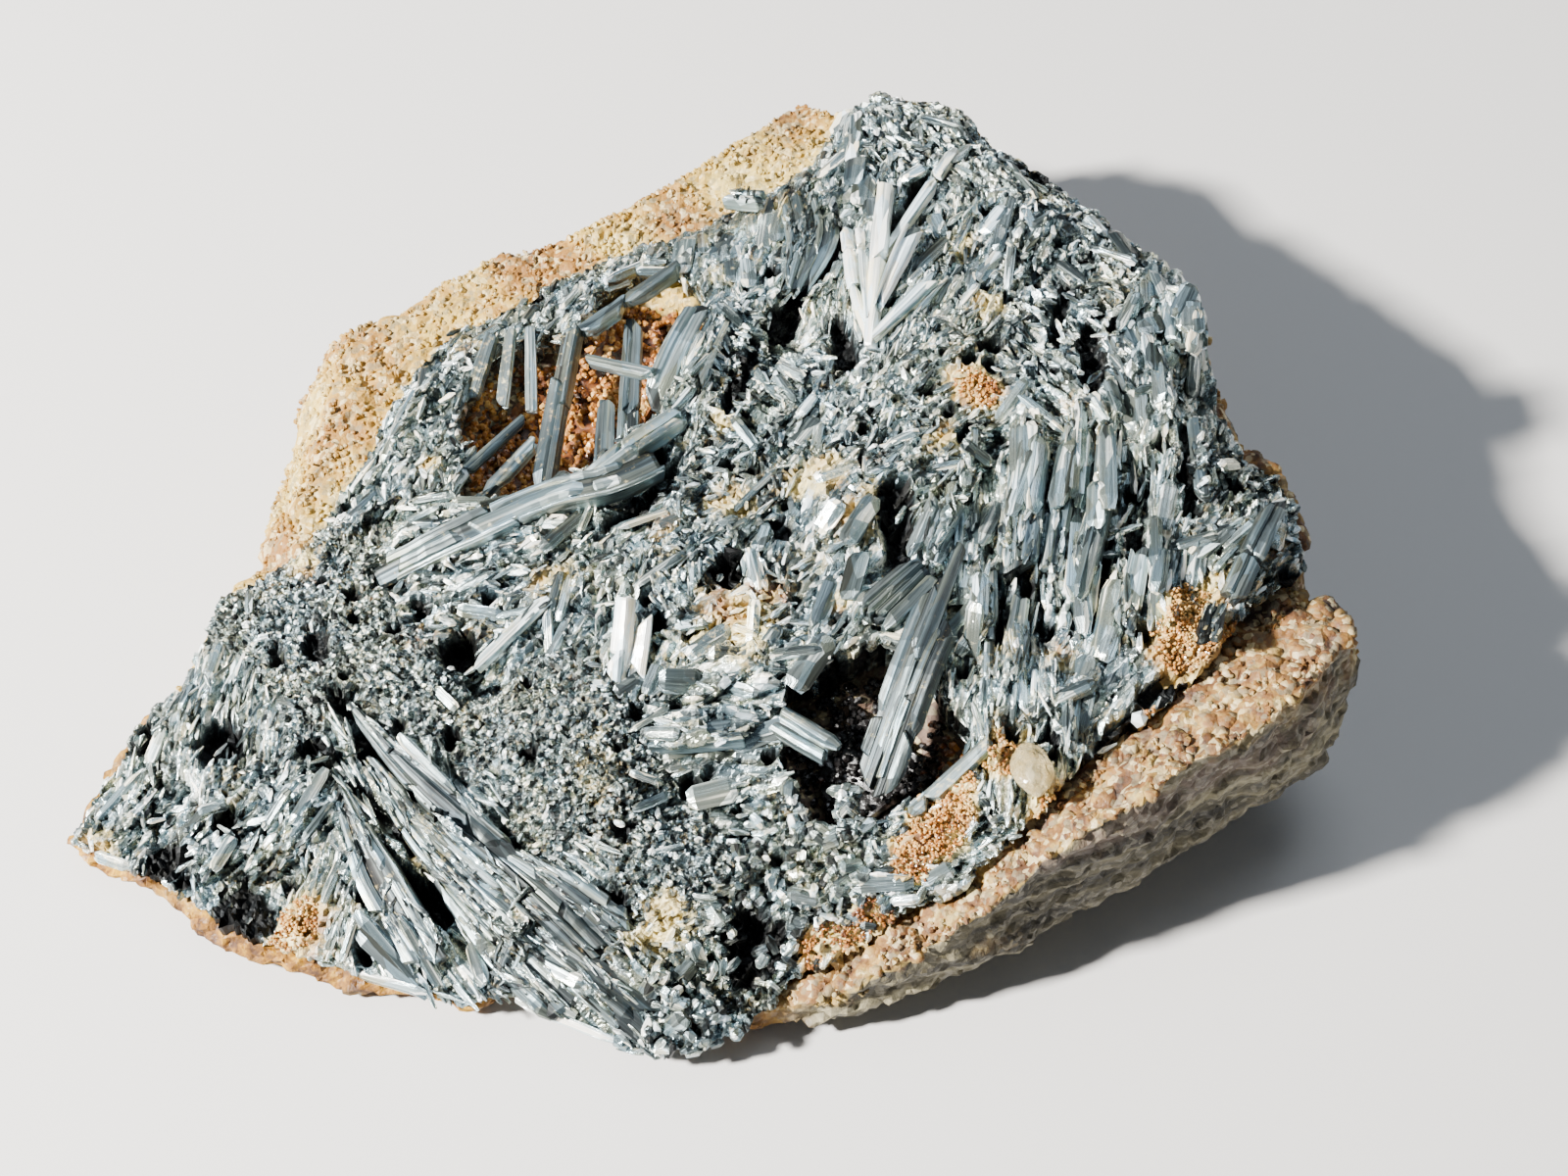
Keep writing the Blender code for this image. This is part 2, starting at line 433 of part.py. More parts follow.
def triangles(loops, inner, lines=()):
    """Delaunay triangles between closed loops, the first the outer one and the others holes.

    Returns the points in the order loops, inner, and the triangles as indices of them."""
    points, edges = [], []
    for loop in loops:
        start = len(points)
        points += loop
        edges += [(start + i, start + (i + 1) % len(loop)) for i in range(len(loop))]
    points += inner
    edges += lines
    found = delaunay_2d_cdt([Vector(p) for p in points], edges, [], 0, 1e-6)
    first_of = {k: min(came_from) for k, came_from in enumerate(found[3]) if came_from}
    kept = []
    for face in found[2]:
        corners = [first_of[k] for k in face]
        x = sum(points[c][0] for c in corners) / 3
        y = sum(points[c][1] for c in corners) / 3
        if reach_inside(x, y, loops[0]) > 0 and all(reach_inside(x, y, h) < 0 for h in loops[1:]):
            kept.append(corners)
    return points, kept


def stony(name, finish, build):
    """A new object whose closed mesh is built by build(bm) in millimetres."""
    bm = bmesh.new()
    build(bm)
    bmesh.ops.remove_doubles(bm, verts=bm.verts, dist=WELD)
    bmesh.ops.recalc_face_normals(bm, faces=bm.faces)
    bmesh.ops.transform(bm, matrix=Matrix.Scale(MM, 4), verts=bm.verts)
    mesh = bpy.data.meshes.new(name)
    bm.to_mesh(mesh)
    bm.free()
    mesh.materials.append(finish)
    made = bpy.data.objects.new(name, mesh)
    bpy.context.scene.collection.objects.link(made)
    return made


def wall_rings():
    """The slab's wall as rings of x, y, z from its flat foot up to its rim."""
    rings = [[] for _ in WALL_RINGS]
    top_ring = []
    for x, y, girth, rim, rim_inset, foot_inset in walked(OUTLINE, WALL_STEP):
        inward = Vector((-x, -y)).normalized()
        at = Vector((x, y))
        rim_at = at + inward * (rim_inset + RIM_STRAY * wander(x, y, *RIM_PLAN))
        own_rim = rim > 0.5 * girth + RIM_OVER_GIRTH
        rim_z = rim + RIM_RISE * wander(x, y, *RIM_HEIGHT) if own_rim else seat(*rim_at)
        rim_z = max(min(rim_z, surface(*rim_at) + RIM_RISE), girth + LOWEST_RIM)
        rough = WALL_ROUGHNESS * min(1.0, rim_z / ROUGH_HEIGHT)
        for ring, (of_foot, of_rim, of_girth, upwards, share) in zip(rings, WALL_RINGS):
            inset = foot_inset * of_foot + rim_inset * of_rim
            z = girth * of_girth + (rim_z - girth) * upwards
            bumps = wander(x + z * WALL_TWIST[0], y + z * WALL_TWIST[1], *WALL_BUMPS)
            out = share * rough * (bumps - WALL_BIAS)
            ring.append((*(at + inward * (inset - out)), z))
        top_ring.append((*rim_at, rim_z))
    return [*rings, top_ring]


def bowl(x, y, hollow):
    """How far a hollow's floor lies under the seat at a place."""
    return HOLLOW_DEPTH * smooth_step((reach_inside(x, y, hollow) + BOWL_RIM) / BOWL_WIDTH)


def matrix_height(x, y, rim):
    """Height of the matrix's top: the seat under the crust, bumpy borders and the hollows' bowls."""
    z = seat(x, y)
    for hollow in HOLLOWS.values():
        z -= bowl(x, y, hollow)
    outside = -reach_inside(x, y, CRUST_EDGE) - GAP
    if outside > 0:
        rim_x, rim_y, rim_z = min(rim, key=lambda p: math.hypot(p[0] - x, p[1] - y))
        to_rim = math.hypot(rim_x - x, rim_y - y)
        share = outside / (outside + to_rim)
        bumps = TOP_ROUGHNESS * min(1.0, outside / BORDER_WIDTH) * wander(x, y, *BORDER_BUMPS)
        z += (rim_z - z) * share + bumps
    return z


def footprint_line(rim_outline):
    """Points just outside the crust's edge, where the matrix can leave the seat, and lines between them."""
    points, lines = [], []
    ring = walked(CRUST_EDGE, WALL_STEP)
    for i, (x, y) in enumerate(ring):
        before, after = ring[i - 1], ring[(i + 1) % len(ring)]
        along = Vector((after[0] - before[0], after[1] - before[1])).normalized()
        out_x, out_y = x - along.y * GAP, y + along.x * GAP
        if reach_inside(out_x, out_y, rim_outline) > LINE_MARGIN:
            points.append((i, out_x, out_y))
    for k in range(1, len(points)):
        if points[k][0] == points[k - 1][0] + 1:
            lines.append((k - 1, k))
    return [(x, y) for _, x, y in points], lines


def shrunk(outline, by):
    """An outline moved inwards, towards its middle."""
    middle = Vector((sum(p[0] for p in outline), sum(p[1] for p in outline))) / len(outline)
    points = []
    for x, y in outline:
        away = Vector((x, y)) - middle
        points.append(tuple(middle + away * (1 - by / away.length)))
    return points


def druse_plan(outline):
    """The edge and the inner points of a hollow's lining, in plan."""
    edge = walked(shrunk(outline, DRUSE_INSET), DRUSE_STEP)
    return edge, scatter(edge, DRUSE_STEP, DRUSE_STEP * SEAT_MARGIN)


def build_matrix(bm):
    """The slab: a top of free points inside its rim, a wall of rings and a flat foot."""
    rings = wall_rings()
    rim = rings[-1]
    rim_outline = [(x, y) for x, y, _ in rim]
    on_line, lines = footprint_line(rim_outline)
    inner = [
        p
        for p in scatter(rim_outline, SEAT_STEP, SEAT_STEP * SEAT_MARGIN, HOLLOWS.values())
        if all(math.hypot(p[0] - q[0], p[1] - q[1]) > LINE_CLEARANCE for q in on_line)
    ]
    for hollow in HOLLOWS.values():
        edge, floor_points = druse_plan(hollow)
        inner += walked(hollow, SEAT_STEP * HOLLOW_STEP) + edge + floor_points
    start = len(rim)
    points, faces = triangles(
        [rim_outline], on_line + inner, [(start + a, start + b) for a, b in lines]
    )
    made = [bm.verts.new(p) for p in rim]
    made += [bm.verts.new((x, y, matrix_height(x, y, rim))) for x, y in points[start:]]
    for face in faces:
        bm.faces.new([made[k] for k in face])
    upper = made[:start]
    for ring in reversed(rings[:-1]):
        lower = [bm.verts.new(p) for p in ring]
        for i in range(start):
            bm.faces.new((upper[i - 1], upper[i], lower[i], lower[i - 1]))
        upper = lower
    bm.faces.new(upper)


def slab_between(bm, loops, top_inner, bottom_inner, top, bottom):
    """A closed slab with the same outline and holes above and below, and heights from two functions."""
    count = sum(len(loop) for loop in loops)
    layers = []
    for inner, height in ((top_inner, top), (bottom_inner, bottom)):
        points, faces = triangles(loops, inner)
        verts = [bm.verts.new((x, y, height(x, y))) for x, y in points]
        for face in faces:
            bm.faces.new([verts[k] for k in face])
        layers.append(verts[:count])
    start = 0
    for loop in loops:
        for i in range(len(loop)):
            before, here = start + (i - 1) % len(loop), start + i
            bm.faces.new((layers[0][before], layers[0][here], layers[1][here], layers[1][before]))
        start += len(loop)


def build_crust(bm):
    """The stibnite crust, with the two hollows as holes."""
    loops = [walked(CRUST_EDGE, TOP_STEP)]
    loops += [walked(hollow, TOP_STEP) for hollow in HOLLOWS.values()]
    slab_between(
        bm,
        loops,
        scatter(loops[0], TOP_STEP, TOP_STEP * TOP_MARGIN, loops[1:]),
        scatter(loops[0], SEAT_STEP, SEAT_STEP * TOP_MARGIN, loops[1:]),
        crust_top,
        lambda x, y: seat(x, y) + BED_GAP,
    )


def build_druse(outline):
    """The rusty crystal lining of one hollow's floor."""

    def floor(x, y):
        return seat(x, y) - bowl(x, y, outline) + DRUSE_GAP

    def bumps(x, y):
        return floor(x, y) + DRUSE_THICKNESS * (DRUSE_LEVEL + DRUSE_BUMPS * wander(x, y, *DRUSE_GRAIN))

    def build(bm):
        edge, inner = druse_plan(outline)
        slab_between(bm, [edge], inner, inner, bumps, floor)

    return build


def crystal_stations(knots, width, swell):
    """Places, directions and shares of the full width along a crystal, tail first.

    A swell, in millimetres, gives the plainer and longer form of the crystal's pocket."""
    first, last = (knots[1] - knots[0]).normalized(), (knots[-1] - knots[-2]).normalized()
    bends = [
        (knot, (after - before).normalized(), KNEE)
        for before, knot, after in zip(knots, knots[1:], knots[2:])
    ]
    if swell:
        return [(knots[0] - first * swell, first, 1.0), *bends, (knots[-1] + last * swell, last, 1.0)]
    tail = [(knots[0], first, TAIL), (knots[0] + first * TAIL_LENGTH * width, first, 1.0)]
    tip = [(knots[-1] - last * TIP_LENGTH * width, last, SHOULDER), (knots[-1], last, TIP)]
    return tail + bends + tip


def crystal_frames(path, width, thickness, roll, swell):
    """Matrices that carry a unit circle to each station of a crystal."""
    knots = [Vector((x, y, surface(x, y) + lift)) for x, y, lift in path]
    frames = []
    for at, along, share in crystal_stations(knots, width, swell):
        side = along.cross(Vector((0, 0, 1))).normalized()
        side = Matrix.Rotation(math.radians(roll), 3, along) @ side
        across = side * (share * width / 2 + swell)
        through = side.cross(along) * (share * thickness / 2 + swell) / math.cos(math.radians(30))
        frame = Matrix((through, across, along)).transposed().to_4x4()
        frame.translation = at
        frames.append(frame)
    return frames


def build_crystal(path, width, thickness, roll, swell=0.0, sides=6):
    """A flattened prism along a path, with a blunt tail and a chisel tip."""

    def build(bm):
        frames = crystal_frames(path, width, thickness, roll, swell)
        bmesh.ops.create_circle(bm, cap_ends=True, segments=sides, radius=1, matrix=frames[0])
        end = bm.faces[:]
        for k in range(1, len(frames)):
            grown = bmesh.ops.extrude_face_region(bm, geom=end)["geom"]
            if k > 1:
                bmesh.ops.delete(bm, geom=end, context="FACES_ONLY")
            end = [f for f in grown if isinstance(f, bmesh.types.BMFace)]
            verts = [v for v in grown if isinstance(v, bmesh.types.BMVert)]
            bmesh.ops.transform(bm, matrix=frames[k] @ frames[k - 1].inverted(), verts=verts)
        bmesh.ops.triangulate(bm, faces=bm.faces)

    return build


def blade_clear(x, y):
    """Whether a fused blade's end at this place stays on the crust."""
    off_hollows = all(reach_inside(x, y, hollow) < -HOLLOW_CLEARANCE for hollow in HOLLOWS.values())
    return off_hollows and reach_inside(x, y, CRUST_EDGE) > EDGE_CLEARANCE


def spray_blades():
    """Paths, widths, thicknesses and rolls of the small blades of every spray."""
    dice = random.Random(SEED)
    blades = []
    for apex_x, apex_y, first, last, near, far, count, length, width in SPRAYS:
        for _ in range(count):
            turn = math.radians(dice.uniform(first, last))
            start = math.sqrt(dice.uniform(near**2, far**2))
            long = length * dice.uniform(*LENGTH_RANGE)
            ends = [
                (apex_x + math.cos(turn) * r, apex_y + math.sin(turn) * r) for r in (start, start + long)
            ]
            roll = dice.uniform(-BLADE_ROLL, BLADE_ROLL)
            wide = width * dice.uniform(*WIDTH_RANGE)
            if all(blade_clear(x, y) for x, y in ends):
                path = [(x, y, crust_top(x, y) - surface(x, y) + BLADE_LIFT) for x, y in ends]
                blades.append((path, wide, BLADE_THICKNESS, roll))
    return blades


def helper(made):
    """Marks an object as a cutter or a piece to fuse, which isn't part of the specimen."""
    made.hide_render = True
    made.display_type = "WIRE"
    return made


def boolean(made, operation, collection):
    """Unites a solid with a collection of helpers, or cuts them from it, and keeps the largest body."""
    step = made.modifiers.new(operation.lower(), "BOOLEAN")
    step.operation = operation
    step.solver = "EXACT"
    step.operand_type = "COLLECTION"
    step.collection = collection
    graph = bpy.context.evaluated_depsgraph_get()
    mesh = bpy.data.meshes.new_from_object(made.evaluated_get(graph))
    made.modifiers.clear()
    made.data = mesh
    bm = bmesh.new()
    bm.from_mesh(mesh)
    bmesh.ops.triangulate(bm, faces=bm.faces)
    bodies = []
    unseen = set(bm.verts)
    while unseen:
        body, edge = set(), [unseen.pop()]
        while edge:
            vert = edge.pop()
            body.add(vert)
            near = {link.other_vert(vert) for link in vert.link_edges} & unseen
            unseen -= near
            edge += near
        bodies.append(body)
    largest = max(bodies, key=len)
    bmesh.ops.delete(bm, geom=[v for v in bm.verts if v not in largest], context="VERTS")
    bm.to_mesh(mesh)
    bm.free()


def thin_out(made, share):
    """Collapses the least needed edges of a solid until this share of its triangles is left."""
    step = made.modifiers.new("thin out", "DECIMATE")
    step.ratio = share
    step.use_collapse_triangulate = True
    graph = bpy.context.evaluated_depsgraph_get()
    mesh = bpy.data.meshes.new_from_object(made.evaluated_get(graph))
    made.modifiers.clear()
    made.data = mesh


def make_finish(name):
    """A plain material with a finish's colour, roughness and metallic value."""
    colour, roughness, metallic = FINISHES[name]
    finish = bpy.data.materials.new(name)
    finish.use_nodes = True
    shader = finish.node_tree.nodes["Principled BSDF"]
    shader.inputs["Base Color"].default_value = (*colour, 1)
    shader.inputs["Roughness"].default_value = roughness
    shader.inputs["Metallic"].default_value = metallic
    return finish


def new_collection(name):
    """An empty collection in the scene."""
    collection = bpy.data.collections.new(name)
    bpy.context.scene.collection.children.link(collection)
    return collection


def move_to(made, collection):
    """Moves an object from the scene's own collection to another."""
    bpy.context.scene.collection.objects.unlink(made)
    collection.objects.link(made)


def stand_on_origin(objects):
    """Moves the whole specimen so that its box stands centred on the origin."""
    corners = [v.co for made in objects for v in made.data.vertices]
    low = Vector(min(c[i] for c in corners) for i in range(3))
    high = Vector(max(c[i] for c in corners) for i in range(3))
    shift = Matrix.Translation((-(low.x + high.x) / 2, -(low.y + high.y) / 2, -low.z))
    print("shift in mm:", [round(x / MM, 3) for x in shift.translation])
    for made in objects:
        made.data.transform(shift)


def build_crystals(finishes, pockets):
    """The separate crystals. The forms of the beds they need in their hosts go into pockets."""
    specimen = []
    for name, crystals in CRYSTALS.items():
        finish = finishes["quartz" if name in QUARTZ else "stibnite"]
        made = stony(name, finish, build_crystal(*crystals[0]))
        if len(crystals) > 1:
            partners = new_collection(name + "_partners")
            for crystal in crystals[1:]:
                partner = stony(name + "_partner", finish, build_crystal(*crystal))
                move_to(helper(partner), partners)
            boolean(made, "UNION", partners)
        for crystal in crystals:
            pocket = stony("pocket", finish, build_crystal(*crystal, swell=GAP))
            move_to(helper(pocket), pockets)
        specimen.append(made)
    return specimen


def build_hosts(finishes):
    """The matrix, the crust with its fused crystals and the linings of the hollows."""
    hosts = [stony("matrix", finishes["matrix"], build_matrix)]
    crust = stony("stibnite_crust", finishes["stibnite"], build_crust)
    ingrown = new_collection("ingrown")
    builders = [build_crystal(*crystal) for crystal in INGROWN]
    builders += [build_crystal(*blade, sides=4) for blade in spray_blades()]
    for builder in builders:
        move_to(helper(stony("ingrown_crystal", finishes["stibnite"], builder)), ingrown)
    boolean(crust, "UNION", ingrown)
    thin_out(crust, KEPT_TRIANGLES)
    hosts.append(crust)
    for name, outline in HOLLOWS.items():
        hosts.append(stony(name, finishes["druse"], build_druse(outline)))
    return hosts


def main():
    """Builds the whole specimen in an empty scene."""
    for old in list(bpy.data.objects):
        bpy.data.objects.remove(old)
    finishes = {name: make_finish(name) for name in FINISHES}
    pockets = new_collection("pockets")
    specimen = build_crystals(finishes, pockets)
    hosts = build_hosts(finishes)
    for host in hosts:
        boolean(host, "DIFFERENCE", pockets)
    specimen += hosts
    stand_on_origin(specimen)
    for made in specimen:
        print(made.name, len(made.data.polygons), "triangles")


main()
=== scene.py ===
# %% [markdown]
# # A spray of stibnite on its matrix
#
# Stibnite grows as long, soft, lead-grey blades that radiate from a point. On this hand specimen thousands of
# them form a crust over a slab of ochre quartz rock. The solids of the frame hold the slab, the crust, the
# larger blades and the linings of two hollows. This lesson dresses them: it grows a fine grain on the big
# forms, plants the small crystals one by one, and paints everything with procedural finishes.

# %% Load the fixed frame
import math
import random

import bmesh
import bpy
from mathutils import Matrix, Vector, noise
from mathutils.bvhtree import BVHTree


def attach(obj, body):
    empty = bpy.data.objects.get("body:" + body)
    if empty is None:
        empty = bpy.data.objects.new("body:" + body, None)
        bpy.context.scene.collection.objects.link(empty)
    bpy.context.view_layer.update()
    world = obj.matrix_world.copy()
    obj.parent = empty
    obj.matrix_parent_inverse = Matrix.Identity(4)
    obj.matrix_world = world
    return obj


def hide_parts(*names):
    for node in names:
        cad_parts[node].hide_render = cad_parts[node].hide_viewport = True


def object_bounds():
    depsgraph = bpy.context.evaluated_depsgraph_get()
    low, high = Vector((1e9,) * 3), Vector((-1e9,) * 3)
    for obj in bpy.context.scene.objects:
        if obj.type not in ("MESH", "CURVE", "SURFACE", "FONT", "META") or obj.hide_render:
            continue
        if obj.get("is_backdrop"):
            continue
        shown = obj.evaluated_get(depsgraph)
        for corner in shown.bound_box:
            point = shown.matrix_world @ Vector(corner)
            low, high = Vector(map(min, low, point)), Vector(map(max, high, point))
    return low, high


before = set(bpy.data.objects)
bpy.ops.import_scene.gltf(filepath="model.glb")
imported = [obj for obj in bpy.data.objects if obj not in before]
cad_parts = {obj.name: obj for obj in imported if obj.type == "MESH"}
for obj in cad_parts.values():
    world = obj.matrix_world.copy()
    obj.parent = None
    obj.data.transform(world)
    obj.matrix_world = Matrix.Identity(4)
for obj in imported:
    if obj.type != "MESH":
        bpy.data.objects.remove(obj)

MM = 0.001
cad_low, cad_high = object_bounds()
print("frame box, mm:", [round(side / MM, 1) for side in cad_high - cad_low])

# %% [markdown]
# ## The top surface and the crystal domains
#
# A crust of radiating crystals is a patchwork. In each patch, called a domain here, the crystals share a
# direction and a size: a fan of long blades, parallel ribs, silky fibre, smooth plates, sugary grains or a
# jumble. A short table of seeds gives each domain its kind, its middle in millimetres and its direction in
# degrees, and a point belongs to the nearest seed. Noise bends the borders between them. The height of the
# top is listed at a few dozen spots in the same way, and between them it is their weighted mean.

# %% Domains of the crust
DOMAINS = [
    ("mixed", -44, -23, 60), ("fibre", -39, -20, 83), ("mixed", -33, -28, 52), ("fibre", -28, -33, 80),
    ("fan", -23, -26, -61), ("fan", -19, -29, -47), ("fan", -12, -33, -40), ("fan", -20, -35, -57),
    ("fan", -9, -41, -41), ("sugar", -20, -20, -34), ("sugar", -11, -28, -35), ("sugar", -3, -32, -34),
    ("sugar", -30, -12, -46), ("sugar", -6, -25, -32), ("sugar", -12, -20, 26), ("mixed", -19, -9, 12),
    ("mixed", -14, -13, 43), ("mixed", -6, -17, 70), ("plate", 0, -23, 4), ("mixed", 2, -14, 23),
    ("plate", 8, -9, 65), ("mixed", 0, -5, 42), ("plate", 14, -16, 51), ("plate", 7, 21, 78),
    ("fibre", 13, 17, 80), ("fibre", 17, 15, 65), ("mixed", 21, 21, 69), ("mixed", 27, 29, -55),
    ("plate", 36, 5, 79), ("mixed", 29, 7, -48), ("rib", 24, -10, 80), ("rib", 30, -10, 78),
    ("rib", 34, -14, 79), ("mixed", 40, -13, 56), ("fibre", 21, -25, 85), ("plate", 33, -23, 60),
    ("mixed", 19, 4, 32), ("mixed", 10, 3, 58), ("fibre", -3, 7, 65), ("mixed", -23, 5, 65),
    ("mixed", -19, 14, 61), ("mixed", 17, -32, 14), ("coarse", 10, -33, 36), ("coarse", 1, -40, 48),
    ("mixed", 2, -12, -63), ("mixed", -7, -4, 38), ("mixed", 14, 0, 45), ("mixed", 4, 7, -35),
]
BORDER_BEND = 2.4  # millimetres by which noise moves the border between two domains


def wander(point, scale, salt):
    """Smooth noise, about -1 to 1, that changes over about scale millimetres."""
    return noise.noise(Vector(point) / scale + Vector((0, 0, salt)))


def domain(x, y):
    """The kind and the direction, in degrees, of the crystals at a place."""
    bent_x = x + BORDER_BEND * wander((x, y, 0), 5, 3)
    bent_y = y + BORDER_BEND * wander((x, y, 0), 5, 8)
    nearest = min(DOMAINS, key=lambda seed: (seed[1] - bent_x) ** 2 + (seed[2] - bent_y) ** 2)
    return nearest[0], nearest[3]


print(len(DOMAINS), "domains")

# %% Top surface
SPOT_HEIGHTS = [
    (-47.0, -24.5, 4.4), (-43.0, -28.0, 4.2), (-39.0, -16.0, 8.2), (-37.0, -27.0, 6.2),
    (-29.0, -33.0, 5.2), (-21.0, -36.5, 4.4), (-35.0, 0.0, 10.0), (-32.0, 12.0, 12.2),
    (-30.0, 21.0, 13.0), (-17.0, 29.0, 15.0), (-2.0, 35.0, 17.0), (9.0, 41.0, 19.0),
    (19.0, 38.0, 20.6), (27.0, 27.0, 22.6), (37.0, 11.0, 23.6), (40.0, 1.0, 22.0),
    (44.0, -9.0, 20.6), (46.0, -17.0, 20.6), (40.0, -20.0, 20.4), (33.0, -26.0, 19.0),
    (25.0, -30.0, 16.0), (17.0, -34.5, 11.8), (9.0, -38.0, 7.6), (3.0, -40.5, 4.8),
    (-3.0, -41.5, 3.8), (-10.0, -39.0, 4.4), (-15.0, -38.5, 4.4), (-24.0, -13.0, 12.6),
    (-9.0, -23.0, 13.6), (0.0, -33.0, 9.6), (-18.0, 2.0, 14.6), (1.0, -8.0, 17.0),
    (1.0, 12.0, 18.6), (21.0, -8.0, 19.8), (21.0, 12.0, 22.0), (16.0, -20.0, 17.0),
]
SPOT_SPREAD = 4.5  # how widely a spot height is felt, in millimetres
SPOT_FALL = 1.6  # how fast it fades beyond that
PLAN_SHIFT = (0.069, -1.012)  # from the plan of the paths to the frame


def surface(x, y):
    """Height of the specimen's top surface at a place of the plan."""
    total = weights = 0.0
    for spot_x, spot_y, z in SPOT_HEIGHTS:
        weight = ((x - spot_x) ** 2 + (y - spot_y) ** 2 + SPOT_SPREAD**2) ** -SPOT_FALL
        total += weight * z
        weights += weight
    return total / weights


def sunk(point):
    """Whether a point of the frame lies well under the top surface, but not at the foot of the specimen."""
    return 3.0 < point.z < surface(point.x - PLAN_SHIFT[0], point.y - PLAN_SHIFT[1]) - 1.5


print("top surface in the middle, mm:", round(surface(0, 0), 1))

# %% [markdown]
# ## Iron stain
#
# Water has left ochre and cream iron oxide in the joints between crystals. Where it lies is a property of the
# specimen, not of one crystal, so it is kept as a list of spots: place, reach and strength. Every crystal and
# every point of the crust reads its own value from it and stores it in an attribute for the shader.

# %% Stain spots
STAINS = [
    (-2.6, -36.7, 1.9, 1.0), (-4.2, -37.4, 1.3, 0.9), (6.5, 26.9, 1.8, 0.9), (20.8, 19.8, 1.3, 0.8),
    (22.6, 12.4, 1.5, 0.9), (20.4, 5.2, 1.4, 1.0), (22.0, 3.4, 1.6, 1.0), (18.8, 0.0, 1.6, 0.8),
    (13.4, -6.4, 2.0, 0.8), (11.0, -6.7, 1.2, 0.9), (9.2, -2.4, 1.9, 0.9), (7.4, -2.8, 1.4, 0.8),
    (1.9, -4.1, 1.9, 0.9), (-3.3, -6.2, 1.5, 0.7), (-11.2, -9.5, 1.6, 0.8), (-12.9, -9.6, 1.0, 0.9),
    (29.2, 1.4, 1.6, 0.7), (29.9, -1.5, 1.2, 0.7), (1.2, 3.8, 1.2, 0.7), (2.6, -15.0, 2.6, 1.0),
    (5.2, -13.2, 1.6, 0.9), (-0.4, -16.8, 1.2, 0.8), (3.0, -17.4, 1.7, 0.9), (10.4, -13.6, 1.0, 0.8),
    (14.1, -17.3, 1.0, 0.5), (9.5, -38.2, 1.8, 0.8), (-32.4, -4.8, 1.5, 0.9),
    (-46.9, -28.1, 1.8, 0.9), (-29.8, -34.8, 2.2, 1.0), (-31.4, -36.0, 1.4, 0.9), (35.4, -19.4, 2.4, 1.0),
    (38.3, -15.4, 1.8, 0.9), (22.3, -18.8, 2.0, 0.7), (26.7, -20.0, 1.6, 0.7), (42.7, -10.8, 1.6, 0.8),
    (22.6, -26.1, 1.9, 0.8), (25.6, -30.6, 1.8, 0.8), (-38.6, -13.6, 1.4, 0.5), (31.0, -26.2, 1.8, 0.7),
    (-22.6, 2.4, 1.3, 0.8), (-20.6, 16.0, 1.8, 0.7), (1.0, 20.0, 1.4, 0.6), (27.0, 29.4, 1.2, 0.5),
]


def stain_at(x, y):
    """How much iron stain lies at a place, 0 to 1."""
    amount = 0.30 + 0.26 * wander((x, y, 0), 5, 40)
    for spot_x, spot_y, reach, strength in STAINS:
        away = math.hypot(x - spot_x, y - spot_y) / reach
        amount = max(amount, strength * (1.25 - 0.6 * away))
    return max(0.0, min(1.0, amount))


print(len(STAINS), "stain spots")

# %% [markdown]
# ## Grooves, pits and patches of druse
#
# Between the shingled blades of a fan there are long open joints, and here and there a crystal has dropped
# out. These dark gaps are what gives the specimen its drawing, so the main ones are listed: a groove by its
# two ends, a pit by its middle. Small holes lie all over the crust, one to a cell of noise. One function says
# how deep the crust is cut at a place. The crust is lowered by it and its tone darkened by it, as painted
# shade, and no small crystal is planted where it is large. Patches where tiny quartz crystals cover the crust
# are listed too.

# %% Grooves and pits
GROOVES = [  # x and y of both ends, half width and depth, in millimetres
    (-28.3, -17.9, -25.7, -21.6, 0.5, 1.2), (-26.2, -21.7, -14.5, -30.5, 0.65, 1.7),
    (-26.6, -24.4, -21.7, -29.3, 0.45, 1.2), (-24.3, -30.4, -19.2, -33.8, 0.8, 1.6),
    (-14.2, -31.2, -7.1, -38.1, 0.5, 1.6), (-9.5, -33.2, -6.0, -34.6, 0.6, 1.4),
    (5.5, 14.0, 10.8, 23.1, 0.8, 2.0), (15.4, 22.8, 17.9, 28.3, 0.7, 1.6), (1.8, 4.8, 3.6, 10.7, 0.5, 1.3),
    (30.6, 9.9, 30.5, 3.7, 0.6, 1.4), (24.5, -11.3, 23.7, -12.9, 0.6, 1.4),
    (26.2, -12.1, 26.9, -9.3, 0.5, 1.4), (30.0, -13.8, 30.7, -10.4, 0.35, 1.2),
    (32.9, -9.7, 32.5, -16.4, 0.55, 1.4), (22.1, -17.9, 22.2, -13.8, 0.45, 1.2),
    (23.6, -16.6, 24.5, -14.0, 0.4, 1.2), (29.6, -26.8, 32.1, -25.4, 0.6, 1.5),
    (20.7, -28.1, 20.9, -26.9, 0.5, 1.4), (10.6, 12.4, 11.2, 8.7, 0.7, 1.6),
    (14.6, -5.8, 15.2, -9.2, 1.0, 2.0), (32.8, -23.6, 35.4, -22.0, 0.6, 1.4),
    (-2.0, 1.0, -8.5, -6.0, 0.4, 1.0), (27.6, 8.0, 29.0, 14.0, 0.4, 1.0), (37.6, -1.0, 37.0, -8.0, 0.4, 1.2),
]
